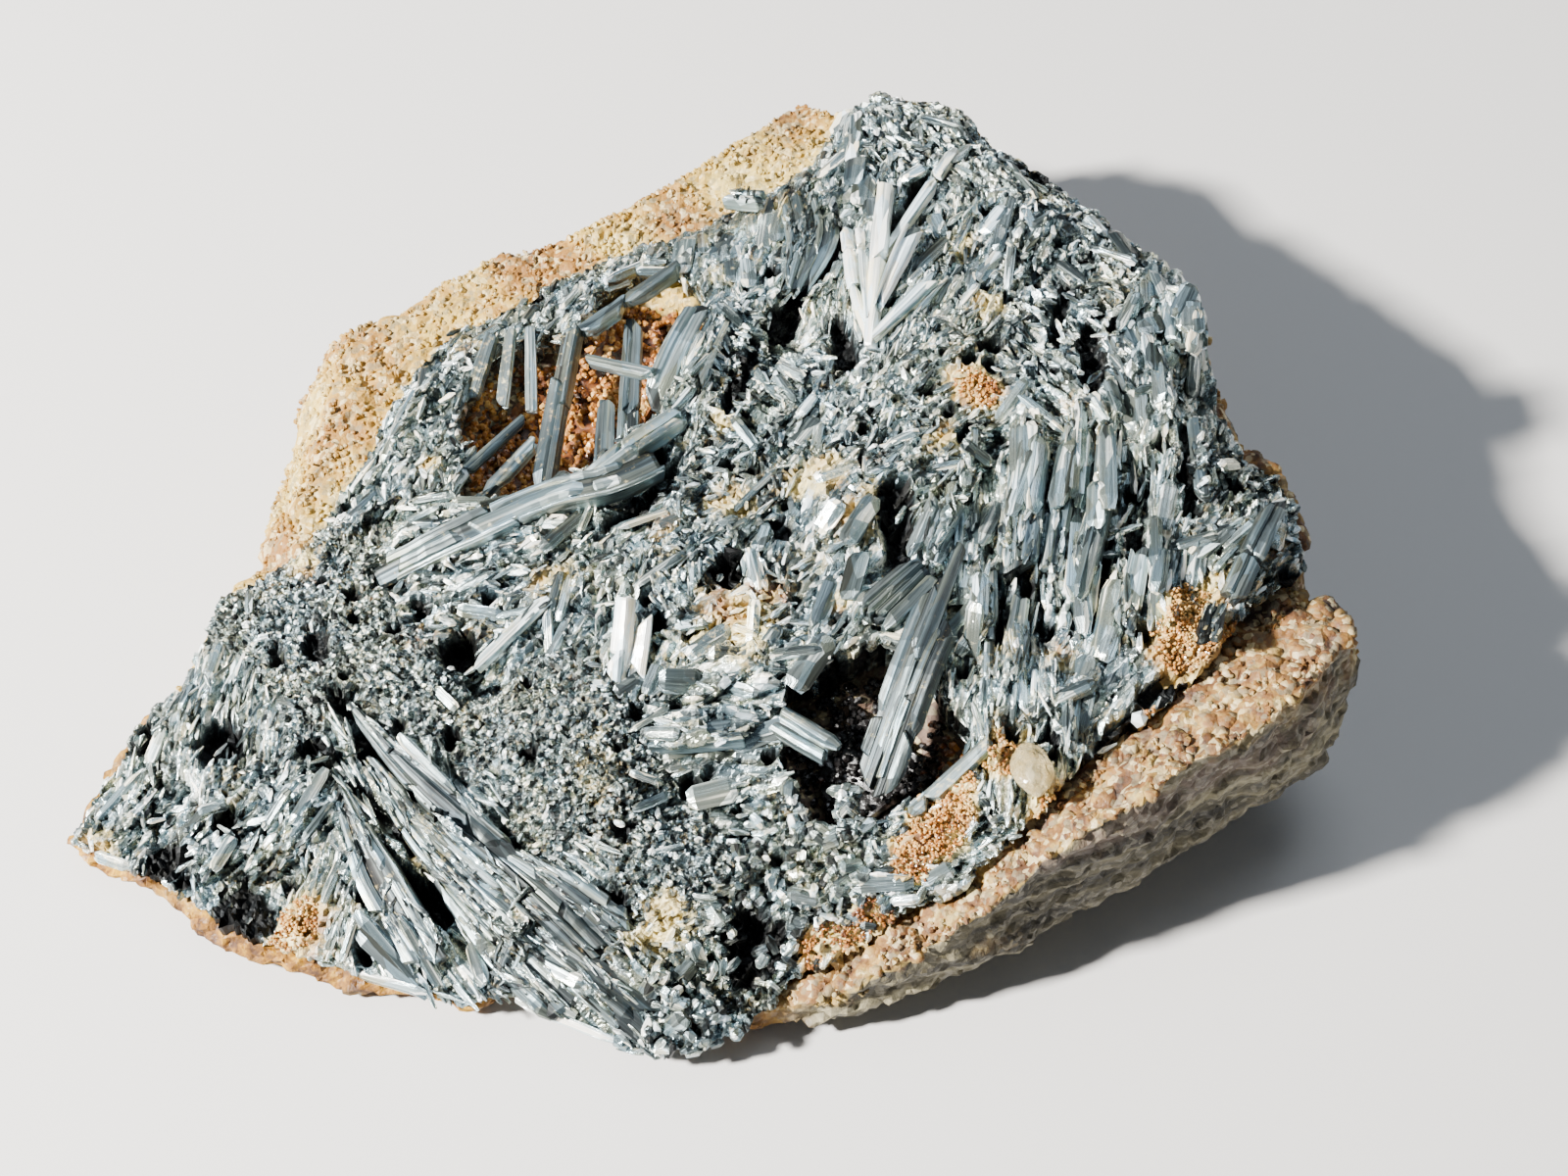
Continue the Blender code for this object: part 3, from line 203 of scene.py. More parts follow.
PITS = [  # x and y of the middle, radius and depth, in millimetres
    (-37.3, -20.4, 1.9, 2.2), (-40.9, -29.0, 1.8, 2.0), (-34.5, -34.1, 2.4, 2.4), (-43.3, -18.6, 0.9, 1.4),
    (-18.8, -15.3, 1.6, 2.2), (-30.4, -13.0, 1.2, 1.4), (-24.8, -32.7, 1.0, 1.8), (1.8, -10.8, 1.3, 1.8),
    (6.2, -7.0, 0.9, 1.4), (16.1, -13.6, 1.0, 1.6), (4.0, -37.8, 2.2, 2.0), (27.9, 28.6, 1.2, 1.4),
    (-10.0, -36.0, 0.8, 1.4), (-36.4, -26.6, 0.9, 1.2), (-28.6, -22.0, 0.7, 1.2), (-39.0, -31.0, 0.7, 1.2),
    (-22.4, -10.6, 0.8, 1.2), (22.6, 8.2, 0.9, 1.4),
]
HOLE_GAP, HOLE_DEPTH = 3.0, 1.5  # millimetres between the small holes, and their depth


def pit_depth(away, deep):
    """Depth of a round pit with steep sides. Away counts in its radii."""
    return deep * min(1.0, 2.4 - 2 * away)


def carved(x, y):
    """How deep the crust is cut into at a place, in millimetres."""
    x += 0.5 * wander((x, y, 0), 1.3, 60)
    y += 0.5 * wander((x, y, 0), 1.3, 66)
    reach, cells = noise.voronoi(Vector((x, y, 0)) / HOLE_GAP)
    radius = 0.5 + 0.4 * noise.cell(cells[0] * 7.7)
    depth = max(0.0, pit_depth(reach[0] * HOLE_GAP / radius, HOLE_DEPTH))
    for x0, y0, x1, y1, half, deep in GROOVES:
        run_x, run_y = x1 - x0, y1 - y0
        t = ((x - x0) * run_x + (y - y0) * run_y) / (run_x**2 + run_y**2)
        t = max(0.0, min(1.0, t))
        away = math.hypot(x - x0 - run_x * t, y - y0 - run_y * t) / half
        depth = max(depth, deep * min(1.0, 1.7 - away))
    for pit_x, pit_y, radius, deep in PITS:
        depth = max(depth, pit_depth(math.hypot(x - pit_x, y - pit_y) / radius, deep))
    return depth


# %% Patches of druse
DRUSE_SPOTS = [  # x, y, reach in millimetres and tone of the patches of druse on the crust
    (17.4, -31.4, 2.4, 0.3), (15.6, -33.4, 1.7, 0.1), (18.6, -29.4, 1.5, 0.4), (9.6, -38.4, 1.9, -0.2),
    (12.6, -37.2, 1.6, 0.0), (-29.8, -34.9, 1.7, 0.1), (-31.0, -36.4, 1.2, 0.3), (35.6, -19.6, 2.4, 0.5),
    (36.6, -17.0, 1.9, 0.6), (21.0, 4.4, 1.5, 0.1), (22.2, 3.4, 1.2, 0.2), (22.0, -27.6, 1.4, 0.3),
    (39.0, -19.0, 1.6, 0.5), (33.4, -25.4, 1.2, 0.4), (25.8, -31.4, 1.4, 0.5),
]


def druse_near(x, y):
    """How far inside a patch of druse a place is: 1 in its middle, below 0 outside."""
    inside = max(1 - math.hypot(x - mid_x, y - mid_y) / reach for mid_x, mid_y, reach, _ in DRUSE_SPOTS)
    return inside + 0.25 * wander((x, y, 0), 1.2, 80)


print(len(GROOVES), "grooves,", len(PITS), "pits and", len(DRUSE_SPOTS), "patches of druse")

# %% [markdown]
# ## Helpers for the meshes
#
# A node of the frame is a loose set of triangles, so a copy is welded before it is worked on. A voxel remesh
# then gives it an even skin, fine enough to be pushed in and out by noise. Every finished piece is written
# back in metres, rides on the specimen's one body, and stays in the frame's box.

# %% Mesh helpers
HEADROOM = 0.5  # millimetres that small crystals may stand over the frame's highest point


def welded_copy(*names):
    """A bmesh copy of some frame nodes, in millimetres, with coincident corners joined."""
    bm = bmesh.new()
    for name in names:
        bm.from_mesh(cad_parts[name].data)
    bmesh.ops.scale(bm, vec=(1 / MM,) * 3, verts=bm.verts)
    bmesh.ops.remove_doubles(bm, verts=bm.verts, dist=1e-3)
    return bm


def as_mesh(bm, name):
    """Turns a bmesh into a mesh, and frees it."""
    mesh = bpy.data.meshes.new(name)
    bm.to_mesh(mesh)
    bm.free()
    return mesh


def in_scene(name, data):
    """A new object of the scene."""
    made = bpy.data.objects.new(name, data)
    bpy.context.scene.collection.objects.link(made)
    return made


def finished(name, bm, finish, slot, *replaced):
    """Makes a piece of a bmesh in millimetres."""
    top, bottom = cad_high.z / MM + HEADROOM, cad_low.z / MM
    for vert in bm.verts:
        vert.co.z = max(bottom, min(top, vert.co.z))
    bmesh.ops.scale(bm, vec=(MM,) * 3, verts=bm.verts)
    mesh = as_mesh(bm, name)
    mesh.materials.clear()
    mesh.materials.append(finish)
    piece = in_scene(name, mesh)
    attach(piece, "root")
    if replaced:
        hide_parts(*replaced)
    triangles = sum(len(face.vertices) - 2 for face in mesh.polygons)
    print(f"{name}: {triangles} triangles")
    return piece


def remeshed(bm, voxel):
    """The same closed form with an even skin of voxel millimetres."""
    holder = in_scene("skin", as_mesh(bm, "skin"))
    step = holder.modifiers.new("even skin", "REMESH")
    step.mode = "VOXEL"
    step.voxel_size = voxel
    graph = bpy.context.evaluated_depsgraph_get()
    made = bmesh.new()
    made.from_object(holder, graph)
    bpy.data.objects.remove(holder)
    made.normal_update()
    return made


# %% [markdown]
# ## Node helpers
#
# The finishes are node trees, and a tree that is built by script soon drowns in calls. So an output socket is
# wrapped in a small class, and a sum, difference or product of such wires adds the Math node that works it
# out. The tree can be asked of any socket, so the helpers behind a wire don't need to be told it.

# %% Wires
class Wire:
    """An output socket. Arithmetic on wires adds Math nodes behind them."""

    def __init__(self, socket):
        self.socket = socket
        self.tree = socket.id_data

    def math(self, operation, first, second):
        return add(self.tree, "Math", {"operation": operation}, n0=first, n1=second)[0]

    def __add__(self, other):
        return self.math("ADD", self, other)

    def __sub__(self, other):
        return self.math("SUBTRACT", self, other)

    def __rsub__(self, other):
        return self.math("SUBTRACT", other, self)

    def __mul__(self, other):
        return self.math("MULTIPLY", self, other)

    def clamped(self):
        """The result of the last Math node, kept between 0 and 1."""
        self.socket.node.use_clamp = True
        return self


class Outputs:
    """The outputs of a node as wires, by name or place."""

    def __init__(self, node):
        self.node = node

    def __getitem__(self, key):
        return Wire(self.node.outputs[key])


def fill(node, **inputs):
    """Sets inputs to numbers or wires. Names have _ for a space, and n1 is the socket at place 1."""
    for key, value in inputs.items():
        by_place = key[0] == "n" and key[1:].isdigit()
        socket = node.inputs[int(key[1:]) if by_place else key.replace("_", " ")]
        if isinstance(value, Wire):
            node.id_data.links.new(value.socket, socket)
        else:
            socket.default_value = value
    return node


def add(tree, kind, settings=None, **inputs):
    """Adds a shader node with its settings and inputs, and returns its outputs."""
    node = tree.nodes.new("ShaderNode" + kind)
    for key, value in (settings or {}).items():
        setattr(node, key, value)
    return Outputs(fill(node, **inputs))


# %% Often used nodes
def blend(mask, first, second, how="MIX"):
    """The colour first where mask is 0, and second, or their product, where it is 1."""
    return add(first.tree, "Mix", {"data_type": "RGBA", "blend_type": how}, n0=mask, n6=first, n7=second)[2]


def ramp(value, *stops):
    """A colour ramp through (place, colour) stops. A number for a colour is a grey."""
    made = add(value.tree, "ValToRGB", n0=value)
    elements = made.node.color_ramp.elements
    for place, _ in stops[2:]:
        elements.new(place)
    for element, (place, colour) in zip(elements, sorted(stops, key=lambda stop: stop[0])):
        element.position = place
        element.color = (colour, colour, colour, 1) if isinstance(colour, float) else (*colour, 1)
    return made[0]


def in_range(value, low, high, most=1.0):
    """A mask that is 0 at low and most at high."""
    return add(value.tree, "MapRange", Value=value, From_Min=low, From_Max=high, To_Min=0.0, To_Max=most)[0]


def noise_node(vector, scale, detail=2.0, roughness=0.5):
    return add(vector.tree, "TexNoise", Vector=vector, Scale=scale, Detail=detail, Roughness=roughness)["Fac"]


def vector_math(operation, first, second):
    return add(first.tree, "VectorMath", {"operation": operation}, n0=first, n1=second)


def attribute(tree, name):
    return add(tree, "Attribute", {"attribute_name": name})["Fac"]


def bump(height, strength, rise, **under):
    """A normal from a height of rise millimetres. Normal=wire lays it over another one."""
    return add(height.tree, "Bump", Strength=strength, Distance=rise * MM, Height=height, **under)[0]


# %% Groups and finishes
def new_group(name, inputs, outputs):
    """A node group with its inputs as wires and its output node. Sockets are given as name and kind."""
    tree = bpy.data.node_groups.new(name, "ShaderNodeTree")
    for in_out, sockets in (("INPUT", inputs), ("OUTPUT", outputs)):
        for label, kind in sockets.items():
            tree.interface.new_socket(label, in_out=in_out, socket_type="NodeSocket" + kind)
    return tree, Outputs(tree.nodes.new("NodeGroupInput")), tree.nodes.new("NodeGroupOutput")


def place(tree, group, **inputs):
    """Places a node group in a material."""
    return add(tree, "Group", {"node_tree": group}, **inputs)


def new_finish(name, **constants):
    """A new material with its shader's constant sockets set. Returns it with its tree and shader."""
    finish = bpy.data.materials.new(name)
    finish.use_nodes = True
    shader = finish.node_tree.nodes["Principled BSDF"]
    return finish, finish.node_tree, fill(shader, **constants)


# %% [markdown]
# ## Effects that several finishes share
#
# Four effects come back in more than one finish, so each is a node group. Growth lines are noise stretched
# along a crystal's own UV map. Iron stain turns its stored amount into broken, powdery patches. Facets are
# the many small, tilted faces of a mass of crystals: one cell of a Voronoi pattern is one face, with its own
# slope, tone and hue. Grit is the fine unevenness of broken rock and of crystal crusts.

# %% Growth lines
growth_lines, given, result = new_group(
    "growth lines", {"Map": "Vector", "Crystal": "Float"}, {"Height": "Float", "Sheen": "Float"}
)
apart = add(growth_lines, "CombineXYZ", Z=given["Crystal"] * 37.0)[0]  # no two crystals share their lines
for name, stretch, detail, roughness in (
    ("Height", (5.5, 0.28, 0.0), 4.0, 0.65),
    ("Sheen", (1.6, 0.5, 0.0), 2.0, 0.5),
):
    stretched = vector_math("MULTIPLY", given["Map"], stretch)[0]
    lines = noise_node(vector_math("ADD", stretched, apart)[0], 1.0, detail, roughness)
    fill(result, **{name: lines})
print("group:", growth_lines.name)

# %% Iron stain
OCHRE, CREAM, RUST = (0.42, 0.26, 0.035), (0.70, 0.57, 0.22), (0.26, 0.09, 0.02)

iron_stain, given, result = new_group(
    "iron stain",
    {"Colour": "Color", "Place": "Vector", "Amount": "Float"},
    {"Colour": "Color", "Mask": "Float"},
)
patches = noise_node(given["Place"], 1500.0, 5.0, 0.75)
mask = in_range(patches * 1.7 + given["Amount"], 1.28, 1.62, 0.92)
powder = ramp(noise_node(given["Place"], 260.0, 3.0), (0.30, RUST), (0.43, OCHRE), (0.57, CREAM))
fill(result, Colour=blend(mask, given["Colour"], powder), Mask=mask)
print("group:", iron_stain.name)

# %% Facets
facets, given, result = new_group(
    "facets", {"Place": "Vector", "Scale": "Float"}, {"Height": "Float", "Tone": "Float", "Hue": "Float"}
)
cells = add(facets, "TexVoronoi", Vector=given["Place"], Scale=given["Scale"])
inside = vector_math("SUBTRACT", given["Place"], cells["Position"])[0]
tilt = vector_math("SUBTRACT", cells["Color"], (0.5, 0.5, 0.5))[0]
slope = vector_math("DOT_PRODUCT", inside, tilt)["Value"]
chance = add(facets, "SeparateColor", Color=cells["Color"])
# The top of this ramp, near white for about one cell in seven, gives painted glints.
tone = ramp(chance[0], (0.0, 0.0), (0.12, 0.3), (0.45, 0.48), (0.78, 0.62), (0.86, 0.95), (1.0, 1.0))
fill(result, Height=slope * given["Scale"], Tone=tone, Hue=chance[1])
print("group:", facets.name)

# %% Grit
grit, given, result = new_group(
    "grit", {"Place": "Vector", "Scale": "Float"}, {"Height": "Float", "Speckle": "Float"}
)
cells = add(grit, "TexVoronoi", Vector=given["Place"], Scale=given["Scale"])
fine = noise_node(given["Place"], given["Scale"], 4.0, 0.7)
speckle = add(grit, "RGBToBW", Color=cells["Color"])[0]
fill(result, Height=fine - cells["Distance"] * 0.6, Speckle=speckle)
print("group:", grit.name)

# %% [markdown]
# ## Stibnite
#
# Fresh stibnite is bright lead grey with a metallic lustre, and in air it tarnishes to a dull blue-grey. Each
# crystal carries one number, its tone, from dark through blue-grey to white. The white end has little metal
# and is painted highlight: glints that shine in any light. The dark end serves as painted shade in the pits,
# cracks and the right hollow. Growth lines run along each crystal and break the reflections, facets scatter
# them, and stain dulls it. The blades, the small crystals and the fused crust share one recipe, with stronger
# facets where the crystals are smaller.

# %% Stibnite finish
# The top stops, near white, are painted highlight; the lowest serve as painted shade.
TONES = [
    (0.0, (0.006, 0.007, 0.008)), (0.22, (0.030, 0.038, 0.042)), (0.44, (0.135, 0.170, 0.184)),
    (0.68, (0.33, 0.41, 0.435)), (0.84, (0.70, 0.78, 0.80)), (0.95, (0.97, 0.98, 0.98)),
]
TINTS = [
    (0.15, (0.80, 0.93, 1.0)), (0.4, (0.94, 1.0, 0.98)), (0.65, (1.0, 0.98, 0.94)),
    (0.9, (1.0, 0.92, 0.72)),
]


def stibnite_finish(name, scatter, scale, facet_depth, facet_tone, line_depth, line_tone, tarnish, warm):
    """Stibnite that reads the attributes tone and stain and the UV map of growth.

    Scatter moves the facets from crystal to crystal, and scale is how many there are to a unit of the map.
    Facets and growth lines each have a depth in millimetres and a share in the tone.
    """
    finish, tree, shader = new_finish(name, IOR=2.2)
    where = add(tree, "TexCoord")
    tone = attribute(tree, "tone")
    growth = place(tree, growth_lines, Map=where["UV"], Crystal=tone)
    apart = add(tree, "CombineXYZ", Z=tone * scatter)[0]
    broken = place(tree, facets, Place=vector_math("ADD", where["UV"], apart)[0], Scale=scale)
    shade = tone + (growth["Height"] - 0.5) * line_tone + (growth["Sheen"] - 0.5) * 0.4
    shade = (shade + (broken["Tone"] - 0.5) * facet_tone).clamped()
    metal = blend(1.0, ramp(shade, *TONES), ramp(broken["Hue"], *TINTS), "MULTIPLY")
    warmth = ramp(noise_node(where["Object"], 170.0, 5.0, 0.65), (0.46, 0.0), (0.62, warm))
    metal = blend(warmth, metal, (1.0, 0.90, 0.70, 1), "MULTIPLY")
    stained = place(tree, iron_stain, Colour=metal, Place=where["Object"], Amount=attribute(tree, "stain"))
    dull = stained["Mask"]
    lustre = ramp(shade, (0.1, 0.5 + tarnish), (0.5, 0.32 + tarnish), (0.8, 0.24 + tarnish), (1.0, 0.3))
    # The metal share falls at the top of the tone, so white facets are painted highlight, bright in any
    # light.
    fill(
        shader,
        Base_Color=stained["Colour"],
        Metallic=(1.0 - dull) * ramp(shade, (0.0, 0.9), (0.75, 0.8), (0.95, 0.2)),
        Roughness=(lustre + dull * 0.4).clamped(),
        Normal=bump(broken["Height"], 0.9, facet_depth, Normal=bump(growth["Height"], 0.7, line_depth)),
    )
    return finish


blade_finish = stibnite_finish("stibnite blades", 37.0, 2.6, 0.12, 0.30, 0.18, 1.0, 0.04, 0.25)
small_finish = stibnite_finish("stibnite small crystals", 37.0, 2.0, 0.18, 0.65, 0.16, 1.0, -0.06, 0.6)
crust_finish = stibnite_finish("stibnite crust", 0.0, 3.0, 0.50, 0.8, 0.15, 0.7, -0.06, 0.7)
print("finishes:", blade_finish.name, small_finish.name, crust_finish.name)

# %% [markdown]
# ## Matrix rock
#
# The slab is a fine quartz rock, cream to buff where it is clean, salmon where iron has soaked it, and
# grey-buff in layers on the broken wall. The salmon is partly darkened, and the layers more, as painted shade
# of the rim and of the wall. Its thin front edge is orange. Four attributes say how rusty, grey, banded and
# orange a point is, and noise at several scales breaks them up. The attribute that marks the band also
# brings dark brown into the hollows and the crevices of the rim, as painted shade.

# %% Matrix finish
BUFF = [
    (0.36, (0.22, 0.095, 0.011)), (0.44, (0.33, 0.18, 0.028)), (0.52, (0.42, 0.275, 0.052)),
    (0.64, (0.50, 0.375, 0.105)),
]
# The salmon of the rim is partly darkened as painted shade of the rim.
SALMON_WITH_PAINTED_SHADE = [
    (0.34, (0.018, 0.008, 0.003)), (0.45, (0.080, 0.029, 0.006)), (0.55, (0.17, 0.074, 0.014)),
    (0.66, (0.31, 0.22, 0.07)),
]
# These layer colours of the wall are darkened as painted shade of the wall.
STRATA_WITH_PAINTED_SHADE = [
    (0.36, (0.020, 0.017, 0.011)), (0.46, (0.056, 0.048, 0.028)), (0.56, (0.11, 0.095, 0.055)),
    (0.68, (0.25, 0.22, 0.13)),
]
ORANGE = [(0.38, (0.05, 0.016, 0.001)), (0.50, (0.19, 0.078, 0.001)), (0.64, (0.46, 0.25, 0.012))]
BAND_AND_SHADE_BROWN = (0.085, 0.055, 0.040, 1)

matrix_finish, tree, shader = new_finish("quartz matrix", IOR=1.5)
where = add(tree, "TexCoord")["Object"]
grains = place(tree, grit, Place=where, Scale=2100.0)
broad = noise_node(where, 130.0, 5.0, 0.6)
mottle = noise_node(where, 520.0, 4.0, 0.7)
layered = add(tree, "Mapping", Vector=where, Rotation=(0.22, -0.12, 0.0), Scale=(120.0, 120.0, 900.0))[0]

grey = in_range(attribute(tree, "grey") + broad, 0.8, 1.15)
rust = in_range(attribute(tree, "rust") + mottle, 0.78, 1.12)
band = in_range(attribute(tree, "band") + mottle, 1.0, 1.3, 0.8)
edge = attribute(tree, "orange")
rock = blend(grey, ramp(broad, *BUFF), ramp(noise_node(layered, 1.0, 4.0, 0.6), *STRATA_WITH_PAINTED_SHADE))
rock = blend(rust, rock, ramp(noise_node(where, 420.0, 4.0, 0.65), *SALMON_WITH_PAINTED_SHADE))
# Dark brown of the band, also painted shade in the hollows and the rim's crevices.
rock = blend(band, rock, BAND_AND_SHADE_BROWN)
rock = blend(edge, rock, ramp(mottle, *ORANGE))

clean = (1.0 - grey * 0.85 - edge).clamped()
for low, high, most, colour in (  # dark and light specks on the clean rock
    (0.70, 0.78, 0.6, (0.17, 0.15, 0.09, 1)),
    (0.34, 0.24, 0.5, (0.68, 0.57, 0.31, 1)),
):
    rock = blend(in_range(grains["Speckle"], low, high, most) * clean, rock, colour)
fill(
    shader,
    Base_Color=rock,
    Roughness=ramp(grains["Speckle"], (0.2, 0.45), (0.6, 0.8)),
    Normal=bump(grains["Height"], 0.7, 0.14, Normal=bump(mottle, 0.7, 0.3)),
)
print("finish:", matrix_finish.name)

# %% [markdown]
# ## Druse and quartz
#
# The floors of the hollows carry a druse, a lining of tiny quartz crystals under a skin of rust that
# sparkles like brown sugar. The floors themselves have a darker finish of the same recipe, painted shade so
# that the gaps between the tiny crystals look deep, and the right floor is darker still, as painted shade of
# that hollow. One larger grain is clear, faintly yellow quartz: real transmission, with the absorption left
# to its base colour.

# %% Druse and quartz finishes
RUSTS = [
    (0.28, (0.006, 0.005, 0.005)), (0.46, (0.14, 0.042, 0.010)), (0.64, (0.38, 0.15, 0.025)),
    (0.86, (0.64, 0.40, 0.13)),
]


def rusty_finish(name, dark):
    """A finish of small rust-skinned crystals. The share dark is painted shade that takes the whole of it
    towards black.
    """
    finish, tree, shader = new_finish(name, IOR=1.55, Coat_Weight=0.3, Coat_Roughness=0.15)
    where = add(tree, "TexCoord")["Object"]
    grains = place(tree, grit, Place=where, Scale=1800.0)
    value = noise_node(where, 450.0, 4.0, 0.6) + attribute(tree, "tone") * 0.25 - dark
    fill(
        shader,
        Base_Color=ramp(value, *RUSTS),
        Roughness=ramp(grains["Speckle"], (0.2, 0.18), (0.7, 0.5)),
        Normal=bump(grains["Height"], 0.7, 0.12),
    )
    return finish


druse_finish = rusty_finish("rusty druse", 0.0)
# The floors get painted shade, the right floor more, as shade of its hollow.
floor_finishes = {
    "left": rusty_finish("floor of the left hollow", 0.1),
    "right": rusty_finish("floor of the right hollow", 0.4),
}

quartz_finish, tree, shader = new_finish("clear quartz", IOR=1.54, Transmission_Weight=0.75, Metallic=0.0)
veil = noise_node(add(tree, "TexCoord")["Object"], 700.0, 4.0, 0.6)
fill(
    shader,
    Base_Color=ramp(veil, (0.35, (0.62, 0.48, 0.22)), (0.65, (0.90, 0.80, 0.52))),
    Roughness=ramp(veil, (0.3, 0.12), (0.7, 0.4)),
    Normal=bump(veil, 0.4, 0.1),
)
print("finishes:", druse_finish.name, "and", quartz_finish.name)

# %% [markdown]
# ## The body of the crust
#
# Below the separate crystals, the crust is a felt of grown-together ones. It starts from the frame's crust.
# The voxel remesh gives points 0.3 mm apart, and each moves along its normal by a Voronoi pattern that is
# stretched in its domain's direction: every cell is one tilted face, and cracks run between the cells. The
# tone is lowered in the cracks, pits and grooves, and on the walls of the right hollow, as painted shade.
# So the felt already shows which way the crystals run. It is made in two halves that overlap a little,
# because one piece would have too many triangles.

# %% Crust body
CRUST_VOXEL = 0.3  # millimetres between the points of the fine skin
CRUST_PARTS = {"crust_west": (-60.0, 3.0), "crust_east": (1.8, 60.0)}  # ranges of x, with a small overlap
FELT = {  # relief and crack depth in millimetres, length and width of the fused crystals, tone
    "fan": (0.34, 0.6, 9.0, 1.2, 0.62), "rib": (0.50, 0.9, 8.0, 1.2, 0.60),
    "plate": (0.35, 0.5, 5.0, 1.5, 0.62), "fibre": (0.30, 0.5, 4.5, 0.7, 0.66),
    "mixed": (0.50, 0.7, 3.4, 1.1, 0.56), "sugar": (0.32, 0.35, 0.8, 0.7, 0.46),
    "coarse": (0.65, 0.7, 1.5, 1.2, 0.48),
}
RIGHT_HOLLOW = (12.5, -24.0, 8.5)  # x, y and reach of the hollow whose walls get painted shade
CRACK = 0.16  # half the width of a crack between two cells, as a share of a cell
FINER = 2.3  # how much smaller the second, finer set of faces is


def growth_place(point):
    """A point's place along and across the crystals of its domain, and the domain's kind."""
    kind, direction = domain(point.x, point.y)
    turn = math.radians(direction)
    along = point.x * math.cos(turn) + point.y * math.sin(turn)
    across = point.y * math.cos(turn) - point.x * math.sin(turn)
    return kind, along, across


def broken_faces(place):
    """Height, crack and tone of fused crystals at a place: each cell of the noise is one tilted face."""
    reach, cells = noise.voronoi(place)
    cell = cells[0]
    tilt = noise.cell_vector(cell * 9.7) - Vector((0.5, 0.5, 0.5))
    crack = max(0.0, 1 - (reach[1] - reach[0]) / CRACK)
    return 0.55 * noise.cell(cell * 5.3) + 1.5 * (place - cell).dot(tilt), crack, noise.cell(cell * 3.1)


def halved(bm, low, high):
    """The closed part of a bmesh between two planes of x."""
    for x, side in ((low, -1), (high, 1)):
        geom = bm.verts[:] + bm.edges[:] + bm.faces[:]
        cut = bmesh.ops.bisect_plane(
            bm, geom=geom, plane_co=(x, 0, 0), plane_no=(side, 0, 0), clear_outer=True
        )
        edges = [item for item in cut["geom_cut"] if isinstance(item, bmesh.types.BMEdge)]
        if edges:
            bmesh.ops.triangle_fill(bm, edges=edges, use_beauty=True)
    bmesh.ops.recalc_face_normals(bm, faces=bm.faces)
    return bm


# %% The two halves of the crust
for piece_name, (low_x, high_x) in CRUST_PARTS.items():
    bm = remeshed(halved(welded_copy("stibnite_crust"), low_x, high_x), CRUST_VOXEL)
    tones = bm.verts.layers.float.new("tone")
    stains = bm.verts.layers.float.new("stain")
    maps = bm.loops.layers.uv.new("growth")
    lie = {}
    for vert in bm.verts:
        kind, along, across = growth_place(vert.co)
        depth, crack_depth, long, wide, tone = FELT[kind]
        lie[vert] = (across / wide, along / long)
        place_now = Vector((along / long, across / wide, vert.co.z / long))
        height, crack, shade = broken_faces(place_now)
        finer, finer_crack, finer_shade = broken_faces(place_now * FINER)
        swell = 0.45 * wander(vert.co, 5, 12)
        rise = depth * (height + 0.5 * finer) + swell - crack_depth * (crack + 0.4 * finer_crack)
        hole = carved(vert.co.x, vert.co.y)
        # The tone drops in the cracks and the cut places as painted shade.
        vert[tones] = tone + 0.10 * shade + 0.10 * finer_shade - 0.25 * crack - 0.5 * min(1.0, hole)
        vert[tones] -= 0.8 * max(0.0, hole - 1.0)
        vert[stains] = stain_at(vert.co.x, vert.co.y) * (1 - min(1.0, hole))
        if druse_near(vert.co.x, vert.co.y) > -0.15:
            vert[stains] = 1.0
        mid_x, mid_y, reach = RIGHT_HOLLOW
        if math.hypot(vert.co.x - mid_x, vert.co.y - mid_y) < reach and sunk(vert.co):
            # Painted shade of the right hollow: a lower tone and no stain on its walls.
            vert[tones] -= 0.6
            vert[stains] = 0.0
        vert.co += vert.normal * rise - Vector((0, 0, hole if vert.normal.z > 0.2 else 0.0))
    for face in bm.faces:
        for loop in face.loops:
            loop[maps].uv = lie[loop.vert]
    finished(piece_name, bm, crust_finish, "stibnite_crust", "stibnite_crust")

# %% [markdown]
# ## The slab
#
# The slab gets the same remesh. Its relief has three sources: bumps of grown-together grains on the borders
# round the crust, smoother layers on the broken wall, and a broad swell of the rim at the front right. The
# four attributes of its finish are worked out here from the height, the slope and the side of the specimen.

# %% Slab
SLAB_VOXEL = 0.55  # millimetres
HOLLOWS = [(-10, 9, 15), (12.5, -24, 9)]  # x and y of the middle, and radius


def ramp_up(value, low, high):
    """0 below low, 1 above high, and even between."""
    return max(0.0, min(1.0, (value - low) / (high - low)))


def at_rim(point):
    """Whether a place is on the thick rim at the front right."""
    return point.x - 0.6 * point.y > 20


def hollow_share(point):
    """How far inside a hollow a place is: 1 in its middle, below 0 outside."""
    return max(1 - math.hypot(point.x - x, point.y - y) / reach for x, y, reach in HOLLOWS)


